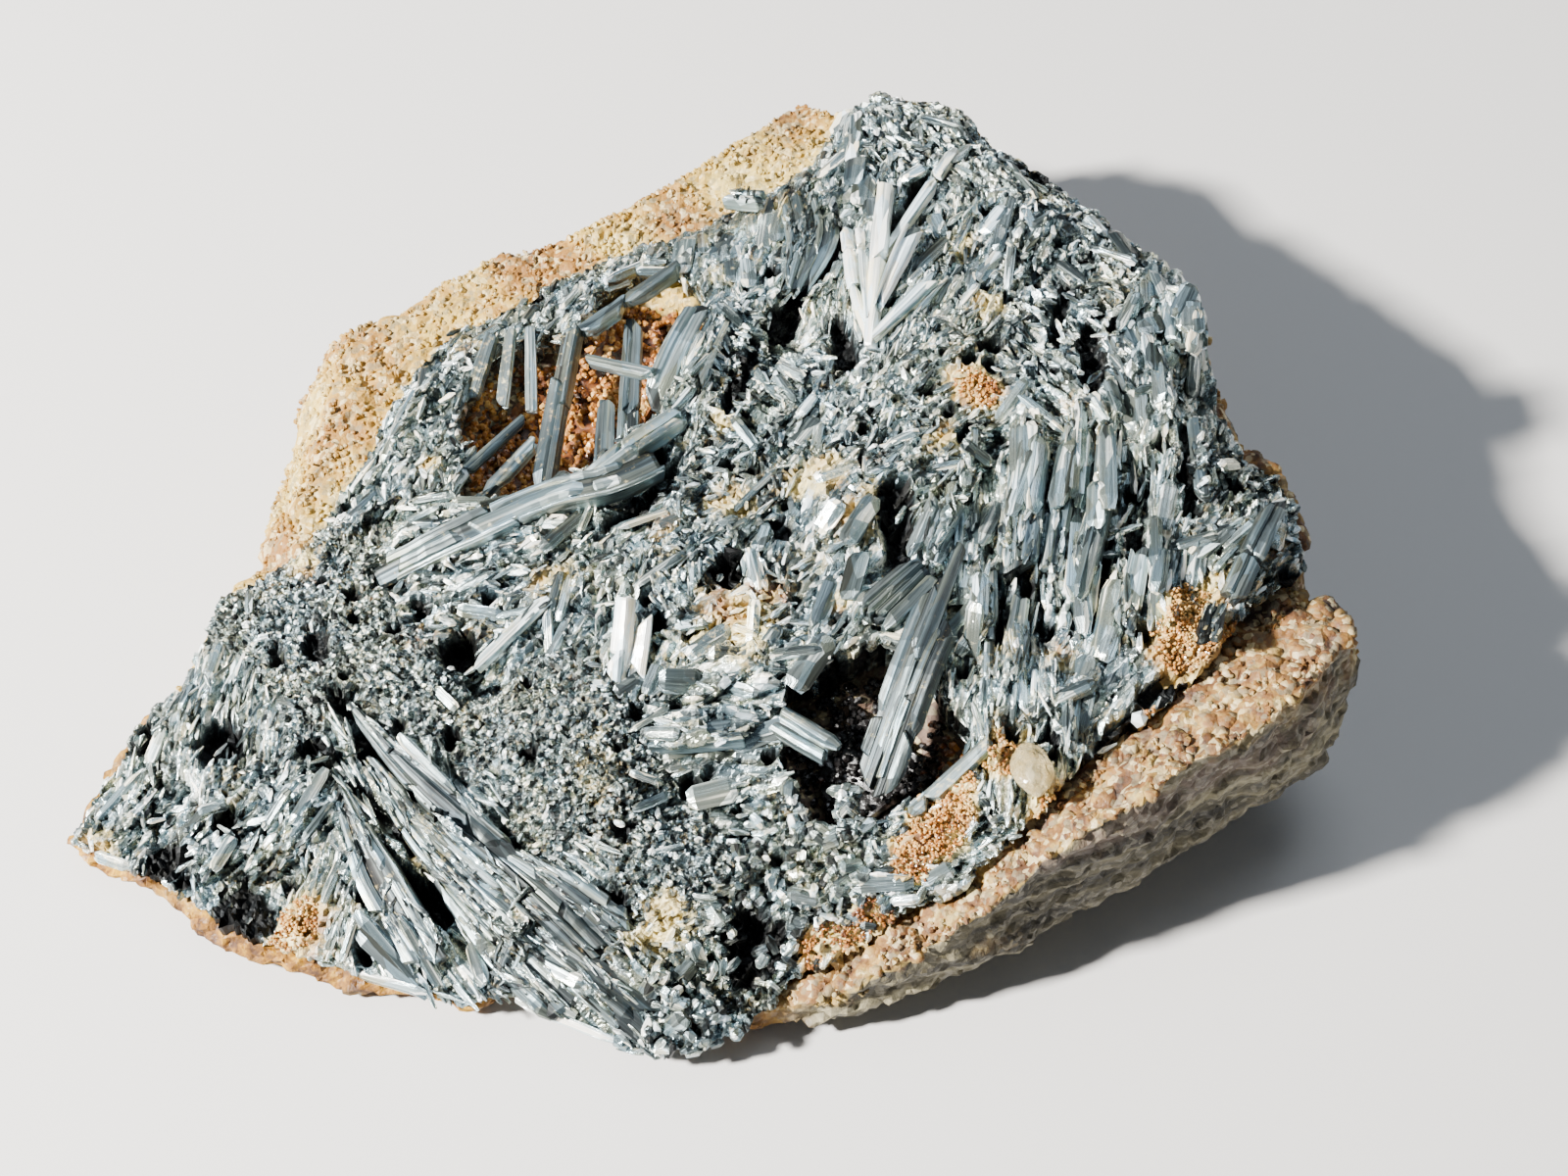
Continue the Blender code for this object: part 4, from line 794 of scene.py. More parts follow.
def rock_at(point, normal):
    """How rusty, grey, banded and orange the rock is at a place, with painted shade in the hollows."""
    x, y, z = point
    steep = 1 - ramp_up(normal.z, 0.1, 0.6)
    front = ramp_up(x - 0.6 * y, 12, 26)
    left_foot = ramp_up(-x - 0.3 * y, 4, 16) * ramp_up(7 - z, 0, 3) * ramp_up(-y, 12, 20)
    orange = min(1.0, 2.2 * left_foot) * (1 - 0.4 * ramp_up(wander((x, y, z), 4, 75), 0.1, 0.4))
    rim = front * (1 - steep) * 0.62 + front * steep * ramp_up(z, 13, 19) * 0.4
    streaks = 0.24 + 0.35 * wander((x, y, z * 2), 6, 70)
    hollow = ramp_up(hollow_share(point), 0.0, 0.3)
    rust = max(rim, streaks * (1 - front * steep), hollow)
    grey = front * steep * 0.95 + 0.35 * (1 - front) * ramp_up(-normal.z, 0.1, 0.6)
    band = front * steep * ramp_up(z, 9, 13) * (1 - ramp_up(z, 16, 18)) * 0.75
    # The band's dark brown is also painted shade in the hollows.
    return {"rust": rust, "grey": grey, "band": max(band, 1.3 * hollow), "orange": orange}


bm = remeshed(welded_copy("matrix"), SLAB_VOXEL)
layers = {name: bm.verts.layers.float.new(name) for name in ("rust", "grey", "band", "orange")}
for vert in bm.verts:
    for name, value in rock_at(vert.co, vert.normal).items():
        vert[layers[name]] = value
    x, y, z = vert.co
    steep = 1 - ramp_up(vert.normal.z, 0.1, 0.6)
    height, crack, _ = broken_faces(vert.co / 2.2)
    lumps = 0.30 * wander(vert.co, 1.5, 20) + 0.20 * wander(vert.co, 0.8, 30) + 0.25 * height - 0.2 * crack
    layer = 0.5 * wander((x / 7, y / 7, z / 1.6), 1, 50) + 0.3 * wander(vert.co, 2.6, 55)
    if at_rim(vert.co):
        swell = wander(vert.co, 2.4, 22)
        lumps += 0.7 * swell * (1 - steep)
        # Painted shade: dark brown in the crevices between the swellings of the rim.
        vert[layers["band"]] += max(0.0, -1.6 * swell) * (1 - steep)
    vert.co += vert.normal * (lumps + layer * steep)
finished("matrix_slab", bm, matrix_finish, "matrix", "matrix")

# %% [markdown]
# ## One crystal, straight and in unit size
#
# All the stibnite starts as one form: a prism that stands on the origin along +Z. A circle is extruded from
# station to station and scaled at each, so the last stations make its blunt or pointed tip. Its UV map holds
# the way round the prism and the way along it, for the growth lines. On the large blades the corners of the
# circle are pushed out towards a square and then in and out at random, because real stibnite is flattened
# and striated lengthwise.

# %% Unit crystal
PERIMETER, ALONG = 2.6, 0.8  # what the UV map counts once round a crystal, and once along it
BLUNT = 1.82  # 2 would keep the corners of a large blade's section square


def unit_crystal(sides, stations, ridge=0.0, dice=None):
    """A closed crystal from z 0 to 1. Stations are place, thickness share and width share."""
    bm = bmesh.new()
    bmesh.ops.create_circle(bm, cap_ends=True, segments=sides, radius=1)
    if sides > 6:
        for vert in bm.verts:
            x, y = abs(vert.co.x), abs(vert.co.y)
            vert.co *= (1 + dice.uniform(-ridge, ridge)) / max(x, y, (x + y) / BLUNT)
    else:
        bmesh.ops.rotate(bm, verts=bm.verts, matrix=Matrix.Rotation(math.pi / sides, 3, "Z"))
    end = bm.faces[:]
    last_z, last_thick, last_wide = 0.0, 1.0, 1.0
    for k, (z, thick, wide) in enumerate(stations):
        if k:
            grown = bmesh.ops.extrude_face_region(bm, geom=end)["geom"]
            if k > 1:
                bmesh.ops.delete(bm, geom=end, context="FACES_ONLY")
            end = [item for item in grown if isinstance(item, bmesh.types.BMFace)]
        verts = end[0].verts[:]
        bmesh.ops.scale(bm, vec=(thick / last_thick, wide / last_wide, 1), verts=verts)
        bmesh.ops.translate(bm, vec=(0, 0, z - last_z), verts=verts)
        last_z, last_thick, last_wide = z, thick, wide
    bmesh.ops.recalc_face_normals(bm, faces=bm.faces)
    maps = bm.loops.layers.uv.new("growth")
    for face in bm.faces:
        middle = face.calc_center_median()
        centre = math.atan2(middle.y, middle.x)
        for loop in face.loops:
            off = math.atan2(loop.vert.co.y, loop.vert.co.x) - centre
            off = (off + math.pi) % math.tau - math.pi
            loop[maps].uv = ((centre + off) / math.tau * PERIMETER, loop.vert.co.z * ALONG)
    for name in ("tone", "stain"):
        bm.verts.layers.float.new(name)
    return bm


# %% [markdown]
# ## The large blades
#
# The frame gives each large blade, or group that has grown together, a node. The paths here are the same as
# the solids': a row holds points of x, y and lift over the top surface, then width, thickness and roll. A
# real blade is a bundle of parallel crystals of uneven width, broken at different places. So each blade is
# laid as strands side by side round a core of lower tone, painted shade that shows in the gaps. A strand is a
# unit crystal whose every corner is carried to a smooth curve through the row's points, so a bent blade bends
# without kinks.

# %% Paths of the large blades
BLADES = {
    "front_fan": [
        ([(-27.5, -17.2, -0.4), (-23.0, -22.4, 1.2), (-18.4, -26.6, 1.4), (-13.6, -30.4, 0.8)], 2.4, 1.6, 16),
        ([(-26.0, -21.0, -0.6), (-21.0, -27.4, 1.0), (-14.6, -33.4, 1.0)], 3.0, 1.4, 12),
        ([(-17.0, -28.0, 0.2), (-11.4, -32.6, 1.5), (-6.6, -36.8, 0.6)], 3.6, 1.5, 8),
        ([(-14.6, -28.8, 0.0), (-9.4, -32.0, 1.2), (-4.6, -35.4, 0.3)], 1.8, 1.5, 18),
        ([(-20.4, -29.6, 0.0), (-14.2, -36.6, 1.0), (-9.4, -41.0, 0.2)], 3.2, 1.3, 14),
        ([(-12.6, -34.8, 0.2), (-8.4, -38.4, 0.9), (-3.8, -41.8, 0.0)], 3.2, 1.4, 6),
        ([(-15.0, -38.8, 0.2), (-13.4, -35.6, 1.7)], 2.4, 1.8, 10),
    ],
    "front_flat_blade": [([(-28.6, -21.6, -0.2), (-24.4, -30.2, 1.3), (-19.8, -37.2, 0.6)], 3.4, 1.4, 16)],
    "long_bent_blade": [
        (
            [
                (-26.4, -6.6, -0.5), (-19.6, -4.6, 1.0), (-12.6, -1.8, 1.6), (-7.6, -0.9, 1.6),
                (-3.4, 1.6, 0.5),
            ],
            2.7, 2.0, 6,
        ),
        ([(-11.0, -1.0, 0.6), (-6.6, 1.7, 1.8), (-2.0, 5.2, 0.8)], 1.8, 1.8, -12),
    ],
    "left_hollow_prism": [([(-11.4, 16.2, 0.8), (-12.6, 8.6, -1.0), (-13.4, -0.6, -1.4)], 1.7, 1.6, 20)],
    "left_hollow_needle_1": [([(-15.2, 17.2, 0.6), (-14.8, 9.8, -1.6)], 0.9, 0.9, 0)],
    "left_hollow_needle_2": [([(-16.9, 17.4, 0.6), (-17.4, 10.6, -1.4)], 1.0, 0.9, 25)],
    "left_hollow_needle_3": [([(-18.4, 17.0, 0.6), (-20.0, 11.4, -1.0)], 1.1, 0.9, 0)],
    "left_hollow_needle_4": [([(-15.4, 8.8, -1.2), (-19.6, 2.6, -0.6)], 1.0, 0.9, -20)],
    "left_hollow_needle_5": [([(-14.2, 6.6, -1.6), (-18.9, -0.9, -1.2)], 1.3, 1.0, 15)],
    "left_hollow_blade_1": [([(-6.6, 18.0, -1.4), (-6.7, 4.2, -2.0)], 1.7, 1.0, 0)],
    "left_hollow_blade_2": [([(-1.0, 17.0, 0.0), (-2.6, 11.6, 0.9), (-4.8, 6.4, 0.2)], 2.2, 0.9, -14)],
    "left_hollow_blade_3": [([(-10.2, 12.4, 0.6), (-4.6, 8.4, 1.5)], 1.0, 0.9, 10)],
    "left_hollow_blade_4": [([(-2.6, 21.6, 0.8), (-10.6, 15.4, 0.6)], 1.4, 1.2, 0)],
    "left_hollow_blade_5": [([(-8.6, 10.4, -2.6), (-8.6, 3.6, -2.2)], 1.5, 0.9, 0)],
    "upper_fan": [
        ([(13.0, 10.0, 0.2), (13.9, 19.6, 1.9), (14.8, 29.0, 0.4)], 1.4, 1.4, -24),
        ([(13.6, 13.2, 1.2), (16.8, 21.6, 1.8)], 1.5, 1.3, 10),
        ([(14.2, 19.4, 0.9), (20.8, 32.0, 0.8)], 1.0, 1.0, -15),
        ([(12.8, 12.4, 0.6), (12.6, 19.0, 1.5), (12.4, 23.0, 1.2)], 0.7, 1.1, 0),
        ([(13.2, 10.6, 0.4), (19.0, 16.4, 1.2)], 1.1, 1.1, 0),
        ([(12.9, 11.0, 0.2), (11.9, 16.0, 0.8), (11.4, 24.4, 0.0)], 0.9, 1.0, 20),
    ],
    "upper_plate": [([(6.8, 17.6, 1.1), (8.4, 23.4, 1.5), (7.8, 30.4, 0.4)], 4.6, 1.4, 12)],
    "centre_prism": [
        ([(-5.9, -13.0, 3.0), (-6.5, -17.8, 0.2)], 1.3, 1.3, 30),
        ([(-4.6, -13.4, 1.2), (-5.3, -17.6, 0.2)], 1.7, 1.5, 0),
    ],
    "right_hollow_sheaf": [
        ([(16.8, -11.6, 0.6), (12.6, -15.4, 1.0)], 3.4, 2.2, -10),
        ([(17.6, -12.6, 0.8), (15.2, -19.0, 0.8), (11.9, -26.8, -0.6)], 1.9, 1.3, 16),
        ([(18.4, -16.4, 1.4), (16.6, -20.6, 1.2), (13.3, -28.0, -0.4)], 1.9, 1.4, -12),
        ([(19.6, -9.8, 0.2), (16.0, -19.6, 1.6)], 1.0, 1.0, 0),
    ],
    "right_hollow_stub": [
        ([(5.2, -21.6, 0.2), (9.4, -24.6, 0.0)], 1.8, 1.4, 0),
        ([(5.9, -21.4, 0.9), (10.2, -24.6, 0.5)], 1.0, 1.0, 0),
    ],
    "right_hollow_needle": [([(21.2, -25.6, 0.8), (15.4, -29.6, 0.2)], 1.2, 1.1, 0)],
    "edge_dark_blade": [([(43.6, -6.8, 0.4), (41.4, -11.6, 1.6), (38.9, -16.6, 0.9)], 1.7, 1.5, -20)],
}
print(sum(len(rows) for rows in BLADES.values()), "blades in", len(BLADES), "nodes")


# %% Smooth path
def smooth_path(knots):
    """Place and direction along a smooth curve through the knots, for t from 0 to 1."""
    lengths = [(b - a).length for a, b in zip(knots, knots[1:])]
    ends = [2 * knots[0] - knots[1], *knots, 2 * knots[-1] - knots[-2]]

    def at(t):
        left = t * sum(lengths)
        k = 0
        while k < len(lengths) - 1 and left > lengths[k]:
            left -= lengths[k]
            k += 1
        s = left / lengths[k]
        a, b, c, d = ends[k : k + 4]
        bend, twist = 2 * a - 5 * b + 4 * c - d, 3 * b - a - 3 * c + d
        point = 0.5 * (2 * b + (c - a) * s + bend * s * s + twist * s**3)
        along = 0.5 * ((c - a) + 2 * bend * s + 3 * twist * s * s)
        return point, along.normalized()

    return at, sum(lengths)


# %% One strand of a blade
SIDES, WIDE_SIDES = 10, 16  # corners round a strand, and round one that is wider than WIDE millimetres
WIDE = 1.3
STEP = 1.1  # millimetres between the stations along a strand
RIDGE = 0.07  # how far its corners are pushed in and out, as a share of its width
SLANT = 1.6  # the steepest slant of a broken end, as height over width
POINTS = (0.15, 0.15, 0.9)  # lengths of its tip, in widths: two in three are blunt


def lay_strand(into, curve, span, across, size, roll, values, dice):
    """Lays one striated crystal along a part of a curve.

    Across is its place in the blade, size its width and thickness, and roll the blade's roll and its own.
    """
    at, length, narrowed = curve
    first, last = span
    width, thickness = size
    reach = (last - first) * length
    foot = min(0.3, POINTS[0] * width / reach)
    tip = min(0.3, dice.choice(POINTS) * width / reach)
    steps = max(1, round(reach / STEP))
    stations = [(0.0, 0.85, 0.9), (foot, 1.0, 1.0)]
    for k in range(1, steps):
        z = foot + (1 - foot - tip) * k / steps
        stations.append((z, dice.uniform(0.93, 1.05), dice.uniform(0.95, 1.04)))
    drawn_in = 0.35 if tip > foot else 0.0
    end = dice.uniform(0.7, 0.9) - drawn_in, dice.uniform(0.75, 0.95) - drawn_in
    stations += [(1 - tip, 1.0, 1.0), (1.0, *end)]
    crystal = unit_crystal(SIDES if width < WIDE else WIDE_SIDES, stations, RIDGE, dice)
    slant = dice.uniform(-SLANT, SLANT) * width / reach
    for vert in crystal.verts:
        x, y, z = vert.co
        t = first + (last - first) * (z + slant * y * (z - 0.5))
        point, along = at(max(0.0, min(1.0, t)))
        side = along.cross(Vector((0, 0, 1))).normalized()
        side = Matrix.Rotation(math.radians(roll[0]), 3, along) @ side
        up = side.cross(along)
        offset = side * (across * narrowed(t))
        side = Matrix.Rotation(math.radians(roll[1]), 3, along) @ side
        thick = side.cross(along) * (x * thickness / 2)
        vert.co = point + offset + thick + side * (y * width / 2 * narrowed(t)) + up * values["lift"]
    for name in ("tone", "stain"):
        for vert in crystal.verts:
            vert[crystal.verts.layers.float[name]] = values[name]
    mesh = as_mesh(crystal, "strand")
    into.from_mesh(mesh)
    bpy.data.meshes.remove(mesh)


# %% A blade of several strands
STRAND = 0.95  # about how wide a strand is, in millimetres
BREAK = 7.0  # its usual unbroken length, in millimetres
SHALLOW, ROOT = 0.35, 0.85  # how far a blade is let into the crust, and its width at the root


def lay_blade(into, row, tone, stain, dice, root=ROOT, sink=SHALLOW):
    """Lays a blade, a bundle of parallel strands round a core, along its row's path."""
    path, width, thickness, roll = row
    shift_x, shift_y = PLAN_SHIFT
    knots = [Vector((x + shift_x, y + shift_y, surface(x, y) + lift - sink)) for x, y, lift in path]
    at, length = smooth_path(knots)
    curve = at, length, lambda t: min(1.0, root + (1 - root) * max(0.0, t) / 0.55)
    count = max(1, round(width / STRAND))
    if count > 1:
        # The core's lower tone is painted shade in the gaps between the strands.
        values = {"tone": 0.45 * tone, "stain": stain, "lift": -0.1}
        lay_strand(into, curve, (0.02, 0.97), 0.0, (0.84 * width, 0.8 * thickness), (roll, 0), values, dice)
    shares = [dice.uniform(0.45, 1.6) for _ in range(count)]
    edge = -width / 2
    for share in shares:
        wide = width * share / sum(shares)
        across = edge + wide / 2
        edge += wide
        start = dice.uniform(0.0, 0.12) if count > 1 else 0.0
        while start < 0.82:
            end = start + dice.uniform(0.6, 1.5) * BREAK / length
            if end > 0.8:
                end = 1 - (dice.uniform(0.0, 0.14) if count > 1 else 0.0)
            size = wide * dice.uniform(0.92, 1.12), thickness * dice.uniform(0.84, 1.08)
            values = {"tone": tone + dice.uniform(-0.13, 0.13), "stain": stain}
            values["lift"] = dice.uniform(-0.15, 0.15)
            lay_strand(into, curve, (start, end), across, size, (roll, dice.uniform(-12, 12)), values, dice)
            start = end + dice.uniform(0.1, 0.5) / length


# %% Large blades
# The upper fan and the centre prism get tones near 1, which the finish makes white and little metallic:
# painted highlight.
BRIGHT = {  # tones of the blades that aren't of the usual one
    "upper_fan": 0.98, "centre_prism": 1.0, "left_hollow_prism": 0.38, "edge_dark_blade": 0.36,
    "front_fan": 0.36, "right_hollow_sheaf": 0.42, "right_hollow_needle": 0.34, "front_flat_blade": 0.36,
    "right_hollow_stub": 0.66, "upper_plate": 0.5, "left_hollow_blade_4": 0.42, "long_bent_blade": 0.55,
}
USUAL_TONE = 0.52
# Width at the root as a share of the full one, and how far a blade is let into the crust, in millimetres
TAPER = {"front_fan": 0.3, "front_flat_blade": 0.2, "upper_fan": 0.55, "upper_plate": 0.45}
SINK = {"front_fan": 1.6, "front_flat_blade": 1.6, "upper_plate": 1.1, "long_bent_blade": 0.8}
OVERGROWN = ("front_fan", "front_flat_blade", "upper_plate")
overgrown = []  # what the splinters need to know of each group of blades that they grow on


def note_overgrown(bm):
    overgrown.append((bm.calc_volume(), BVHTree.FromBMesh(bm), [vert.co.copy() for vert in bm.verts]))


dice = random.Random(7)
for node_name, rows in BLADES.items():
    bm = bmesh.new()
    for row in rows:
        tone = BRIGHT.get(node_name, USUAL_TONE) + dice.uniform(-0.08, 0.08)
        root, sink = TAPER.get(node_name, ROOT), SINK.get(node_name, SHALLOW)
        lay_blade(bm, row, tone, dice.uniform(0.1, 0.4), dice, root, sink)
    if node_name in OVERGROWN:
        note_overgrown(bm)
    finished(node_name + "_crystals", bm, blade_finish, "stibnite_blade", node_name)

# %% [markdown]
# ## The clear grain
#
# The one clear grain of quartz is a worn lump. A fine icosphere that noise pushes in and out has no poles,
# and it stays one closed form, as glass has to be.

# %% Quartz pebble
PEBBLE_RADII = Vector((1.5, 2.0, 1.1))  # millimetres

bm = bmesh.new()
bmesh.ops.create_icosphere(bm, subdivisions=4, radius=1)
for vert in bm.verts:
    vert.co *= 1 + 0.22 * wander(vert.co, 0.7, 91) + 0.06 * wander(vert.co, 0.2, 92)
bmesh.ops.scale(bm, vec=PEBBLE_RADII, verts=bm.verts)
bmesh.ops.rotate(bm, verts=bm.verts, matrix=Matrix.Rotation(math.radians(12), 3, "Z"))
bmesh.ops.translate(bm, verts=bm.verts, vec=(24.0, -29.1, surface(23.9, -28.2) + 0.5))
finished("quartz_pebble", bm, quartz_finish, "quartz", "quartz_grain")

# %% [markdown]
# ## Blades that are half sunk in the crust
#
# The frame's crust has these ribs and plates fused to it, and the remesh keeps them only as soft swellings.
# The same crystals are laid here again with crisp edges, over the swellings.

# %% Ribs and plates of the crust
INGROWN = [
    ([(1.6, 16.0, 0.0), (-1.6, 7.4, 0.9)], 1.7, 1.4, 18),
    ([(0.0, 13.0, 0.2), (-3.4, 5.2, 0.6)], 1.4, 1.2, -10),
    ([(1.2, 29.8, 0.9), (4.4, 28.6, 1.2)], 1.9, 1.4, 0),
    ([(4.4, -16.6, 1.0), (-1.4, -20.6, 1.3)], 1.8, 1.3, 0),
    ([(2.2, -16.6, 0.8), (-3.4, -19.6, 0.9)], 1.3, 1.2, 20),
    ([(-4.4, -22.4, 0.3), (3.9, -21.8, 1.1)], 3.3, 1.6, 5),
    ([(-17.6, -15.6, 0.0), (-12.2, -10.6, 1.2)], 1.0, 0.9, 0),
    ([(-8.8, -24.6, 0.2), (-5.6, -27.2, 1.2)], 0.8, 0.8, 0),
    ([(17.7, -6.4, 2.0), (15.7, -10.2, 0.2)], 1.1, 1.6, 0),
    ([(19.3, -7.0, 2.0), (17.3, -10.8, 0.2)], 1.1, 1.6, 0),
    ([(11.0, -30.6, 0.0), (10.6, -27.0, -0.4)], 1.7, 1.4, 0),
    ([(27.4, -21.6, 0.4), (26.6, -27.0, 0.9)], 1.0, 0.9, 0),
    ([(23.4, -24.2, 0.7), (29.0, -21.6, 1.1)], 1.1, 1.0, 0),
    ([(25.6, 3.0, 0.1), (24.6, -5.0, 0.8), (23.4, -12.6, 0.4)], 3.0, 1.7, 14),
    ([(28.6, 2.0, 0.1), (27.6, -5.0, 0.9), (26.0, -12.6, 0.3)], 1.6, 1.6, -12),
    ([(31.4, 1.2, 0.0), (30.4, -6.0, 0.8), (28.6, -13.0, 0.3)], 1.7, 1.6, 10),
    ([(21.2, -11.8, 0.1), (20.8, -17.6, 0.9)], 2.2, 1.6, 0),
    ([(23.8, -14.0, 0.0), (22.6, -21.0, 0.9)], 1.6, 1.4, -18),
    ([(33.0, -10.4, 0.0), (31.2, -18.0, 0.8)], 1.7, 1.4, 10),
    ([(33.2, 9.0, 0.0), (34.6, 3.0, 1.1)], 4.2, 1.8, 12),
    ([(37.6, 13.0, 0.2), (37.9, 6.6, 1.1)], 3.2, 1.8, 8),
    ([(37.9, 0.6, 0.2), (37.7, -7.4, 1.6)], 1.0, 1.0, 20),
]
DARK_STUB = ([(37.9, -16.4, 0.2), (36.9, -19.6, 1.0)], 1.8, 1.6, 0)

bm = bmesh.new()
for row in INGROWN:
    middle = row[0][len(row[0]) // 2]
    lay_blade(bm, row, dice.uniform(0.4, 0.7), 0.6 * stain_at(*middle[:2]), dice)
lay_blade(bm, DARK_STUB, 0.22, 0.1, dice)
note_overgrown(bm)
finished("crust_ribs", bm, blade_finish, "stibnite_blade")

# %% [markdown]
# ## Planting the small crystals
#
# The small crystals are what the eye reads as stibnite. They could be instances, but the parts library needs
# real meshes, so stamps are copied into a few joined pieces. Places are drawn evenly over the frame's crust.
# The domain of each place picks the size, how far the crystal leans out of the surface, and how strictly it
# keeps the direction. Every stamp has only a few dozen faces. None is planted in a pit, and none may stand
# off the crust at an end, because it would look like litter.

# %% Stamps
STAMPS = {  # corners round the crystal, and its stations
    "lath": (6, [(0.0, 0.2, 0.6), (0.15, 0.85, 0.95), (0.86, 1.0, 1.0), (1.0, 0.25, 0.7)]),
    "splinter": (4, [(0.0, 0.3, 0.5), (0.7, 1.0, 1.0), (1.0, 0.4, 0.35)]),
    "grain": (5, [(0.0, 0.8, 0.7), (0.7, 1.0, 1.0), (1.0, 0.55, 0.45)]),
}
LATH, SPLINTER, GRAIN = (as_mesh(unit_crystal(*form), name) for name, form in STAMPS.items())
print("stamp faces:", [len(mesh.polygons) for mesh in (LATH, SPLINTER, GRAIN)])


# %% Beds
class Bed:
    """Even random places on the upward and outward faces of frame nodes."""

    def __init__(self, names, lowest_normal):
        bm = welded_copy(*names)
        bmesh.ops.triangulate(bm, faces=bm.faces)
        bm.normal_update()
        self.faces = []
        self.sums = []
        total = 0.0
        for face in bm.faces:
            if face.normal.z > lowest_normal:
                total += face.calc_area()
                self.faces.append(([vert.co.copy() for vert in face.verts], face.normal.copy()))
                self.sums.append(total)
        bm.free()

    def draw(self, dice):
        """A random point and its face's normal."""
        (a, b, c), normal = dice.choices(self.faces, cum_weights=self.sums)[0]
        u, v = dice.random(), dice.random()
        if u + v > 1:
            u, v = 1 - u, 1 - v
        return a + (b - a) * u + (c - a) * v, normal


# %% Placing a stamp
def crystal_matrix(point, axis, up, length, width, thickness):
    """Carries a unit crystal to a place, with its broad side towards up."""
    side = axis.cross(up).normalized()
    through = side.cross(axis)
    matrix = Matrix((through * thickness / 2, side * width / 2, axis * length)).transposed().to_4x4()
    matrix.translation = point
    return matrix


def plant(into, mesh, matrix, **values):
    """Adds a copy of a stamp to a bmesh, with values for its attributes."""
    copy = mesh.copy()
    copy.transform(matrix)
    for name, value in values.items():
        layer = copy.attributes.get(name) or copy.attributes.new(name, "FLOAT", "POINT")
        layer.data.foreach_set("value", [value] * len(copy.vertices))
    into.from_mesh(copy)
    bpy.data.meshes.remove(copy)


def leaning(normal, direction, spread, lean, dice):
    """An axis near a direction of the plan, kept to the surface and raised from it by about lean degrees."""
    turn = math.radians(direction + dice.gauss(0, spread) + (180 if dice.random() < 0.5 else 0))
    flat = Vector((math.cos(turn), math.sin(turn), 0))
    flat = (flat - normal * flat.dot(normal)).normalized()
    rise = math.radians(dice.uniform(-0.3, 1.0) * lean)
    return (flat * math.cos(rise) + normal * math.sin(rise)).normalized()


# %% Where nothing is planted
cover = welded_copy("stibnite_crust")
lid = BVHTree.FromBMesh(cover)
cover.free()
ABOVE = 60  # millimetres over the table from which a place on top is looked for


def in_pit(point):
    """Whether a place is in a pit, a groove or a patch of druse, or well under the top surface."""
    return carved(point.x, point.y) > 0.3 or druse_near(point.x, point.y) > 0 or sunk(point)


def sticks_out(point, axis, length):
    """Whether an end of a crystal that is laid with its middle at a place would stand off the crust."""
    limit = min(1.1, 0.4 + 0.25 * length)
    return any(lid.find_nearest(point + axis * length * share)[3] > limit for share in (-0.5, 0.5))


def from_above(tree, x, y):
    """The highest point of a tree at a place, and the normal there."""
    return tree.ray_cast(Vector((x, y, ABOVE)), Vector((0, 0, -1)))[:2]


def drawn(table, count, dice):
    """Draws places on the crust, with the crystals that the table has for their domains."""
    for _ in range(count):
        point, normal = crust_bed.draw(dice)
        kind, direction = domain(point.x, point.y)
        share, lengths, widths, thick, spread, lean, tones = table[kind]
        if dice.random() <= share:
            axis = leaning(normal, direction, spread, lean, dice)
            yield point, normal, kind, axis, dice.uniform(*lengths), dice.uniform(*widths), thick, tones


crust_bed = Bed(["stibnite_crust"], -0.12)
print("crust area, mm2:", round(crust_bed.sums[-1]))

# %% [markdown]
# ## Middle-sized blades
#
# Laths of 2 to 9 mm lie nearly flush in the crust, and show its domains from afar. They keep their domain's
# direction closely. A long one must be clear of the pits along its whole length.

# %% Middle-sized blades
MIDDLE = {  # share of places taken, length, width, thickness, spread and lean in degrees, tone
    "fan": (1.0, (4.0, 9.0), (0.8, 1.8), 0.9, 6, 3, (0.5, 0.8)),
    "rib": (1.0, (4.0, 9.0), (1.0, 2.4), 1.2, 5, 4, (0.45, 0.75)),
    "plate": (0.8, (2.5, 5.5), (1.2, 2.4), 0.8, 12, 5, (0.45, 0.75)),
    "fibre": (0.8, (2.2, 5.0), (0.5, 1.0), 0.8, 10, 6, (0.5, 0.9)),
    "mixed": (0.55, (2.0, 5.0), (0.6, 1.6), 0.9, 26, 8, (0.4, 0.8)),
    "sugar": (0.05, (1.8, 3.6), (0.5, 0.9), 0.7, 60, 8, (0.4, 0.8)),
    "coarse": (0.9, (1.4, 2.8), (1.0, 1.9), 1.3, 80, 45, (0.25, 1.0)),
}
dice = random.Random(11)
bm = bmesh.new()
for point, normal, kind, axis, length, width, thick, tones in drawn(MIDDLE, 900, dice):
    up = (normal + Vector((dice.uniform(-0.35, 0.35), dice.uniform(-0.35, 0.35), 0))).normalized()
    along = (-0.4, -0.2, 0.0, 0.2, 0.4)
    if any(in_pit(point + axis * length * share) for share in along) or sticks_out(point, axis, length):
        continue
    thickness = thick * dice.uniform(0.7, 1.2)
    start = point - axis * length * 0.5 + normal * (0.25 - dice.uniform(0.15, 0.5) * thickness)
    matrix = crystal_matrix(start, axis, up, length, width, thickness)
    plant(bm, LATH, matrix, tone=dice.uniform(*tones), stain=0.6 * stain_at(point.x, point.y))
finished("middle_blades", bm, small_finish, "stibnite_blade")

# %% [markdown]
# ## Fine blades and grains
#
# Over them come thousands of splinters and grains of up to 3 mm, which give the crust its glitter. They are
# freer in direction and tone. In the sugary and coarse domains they are short grains that point anywhere.

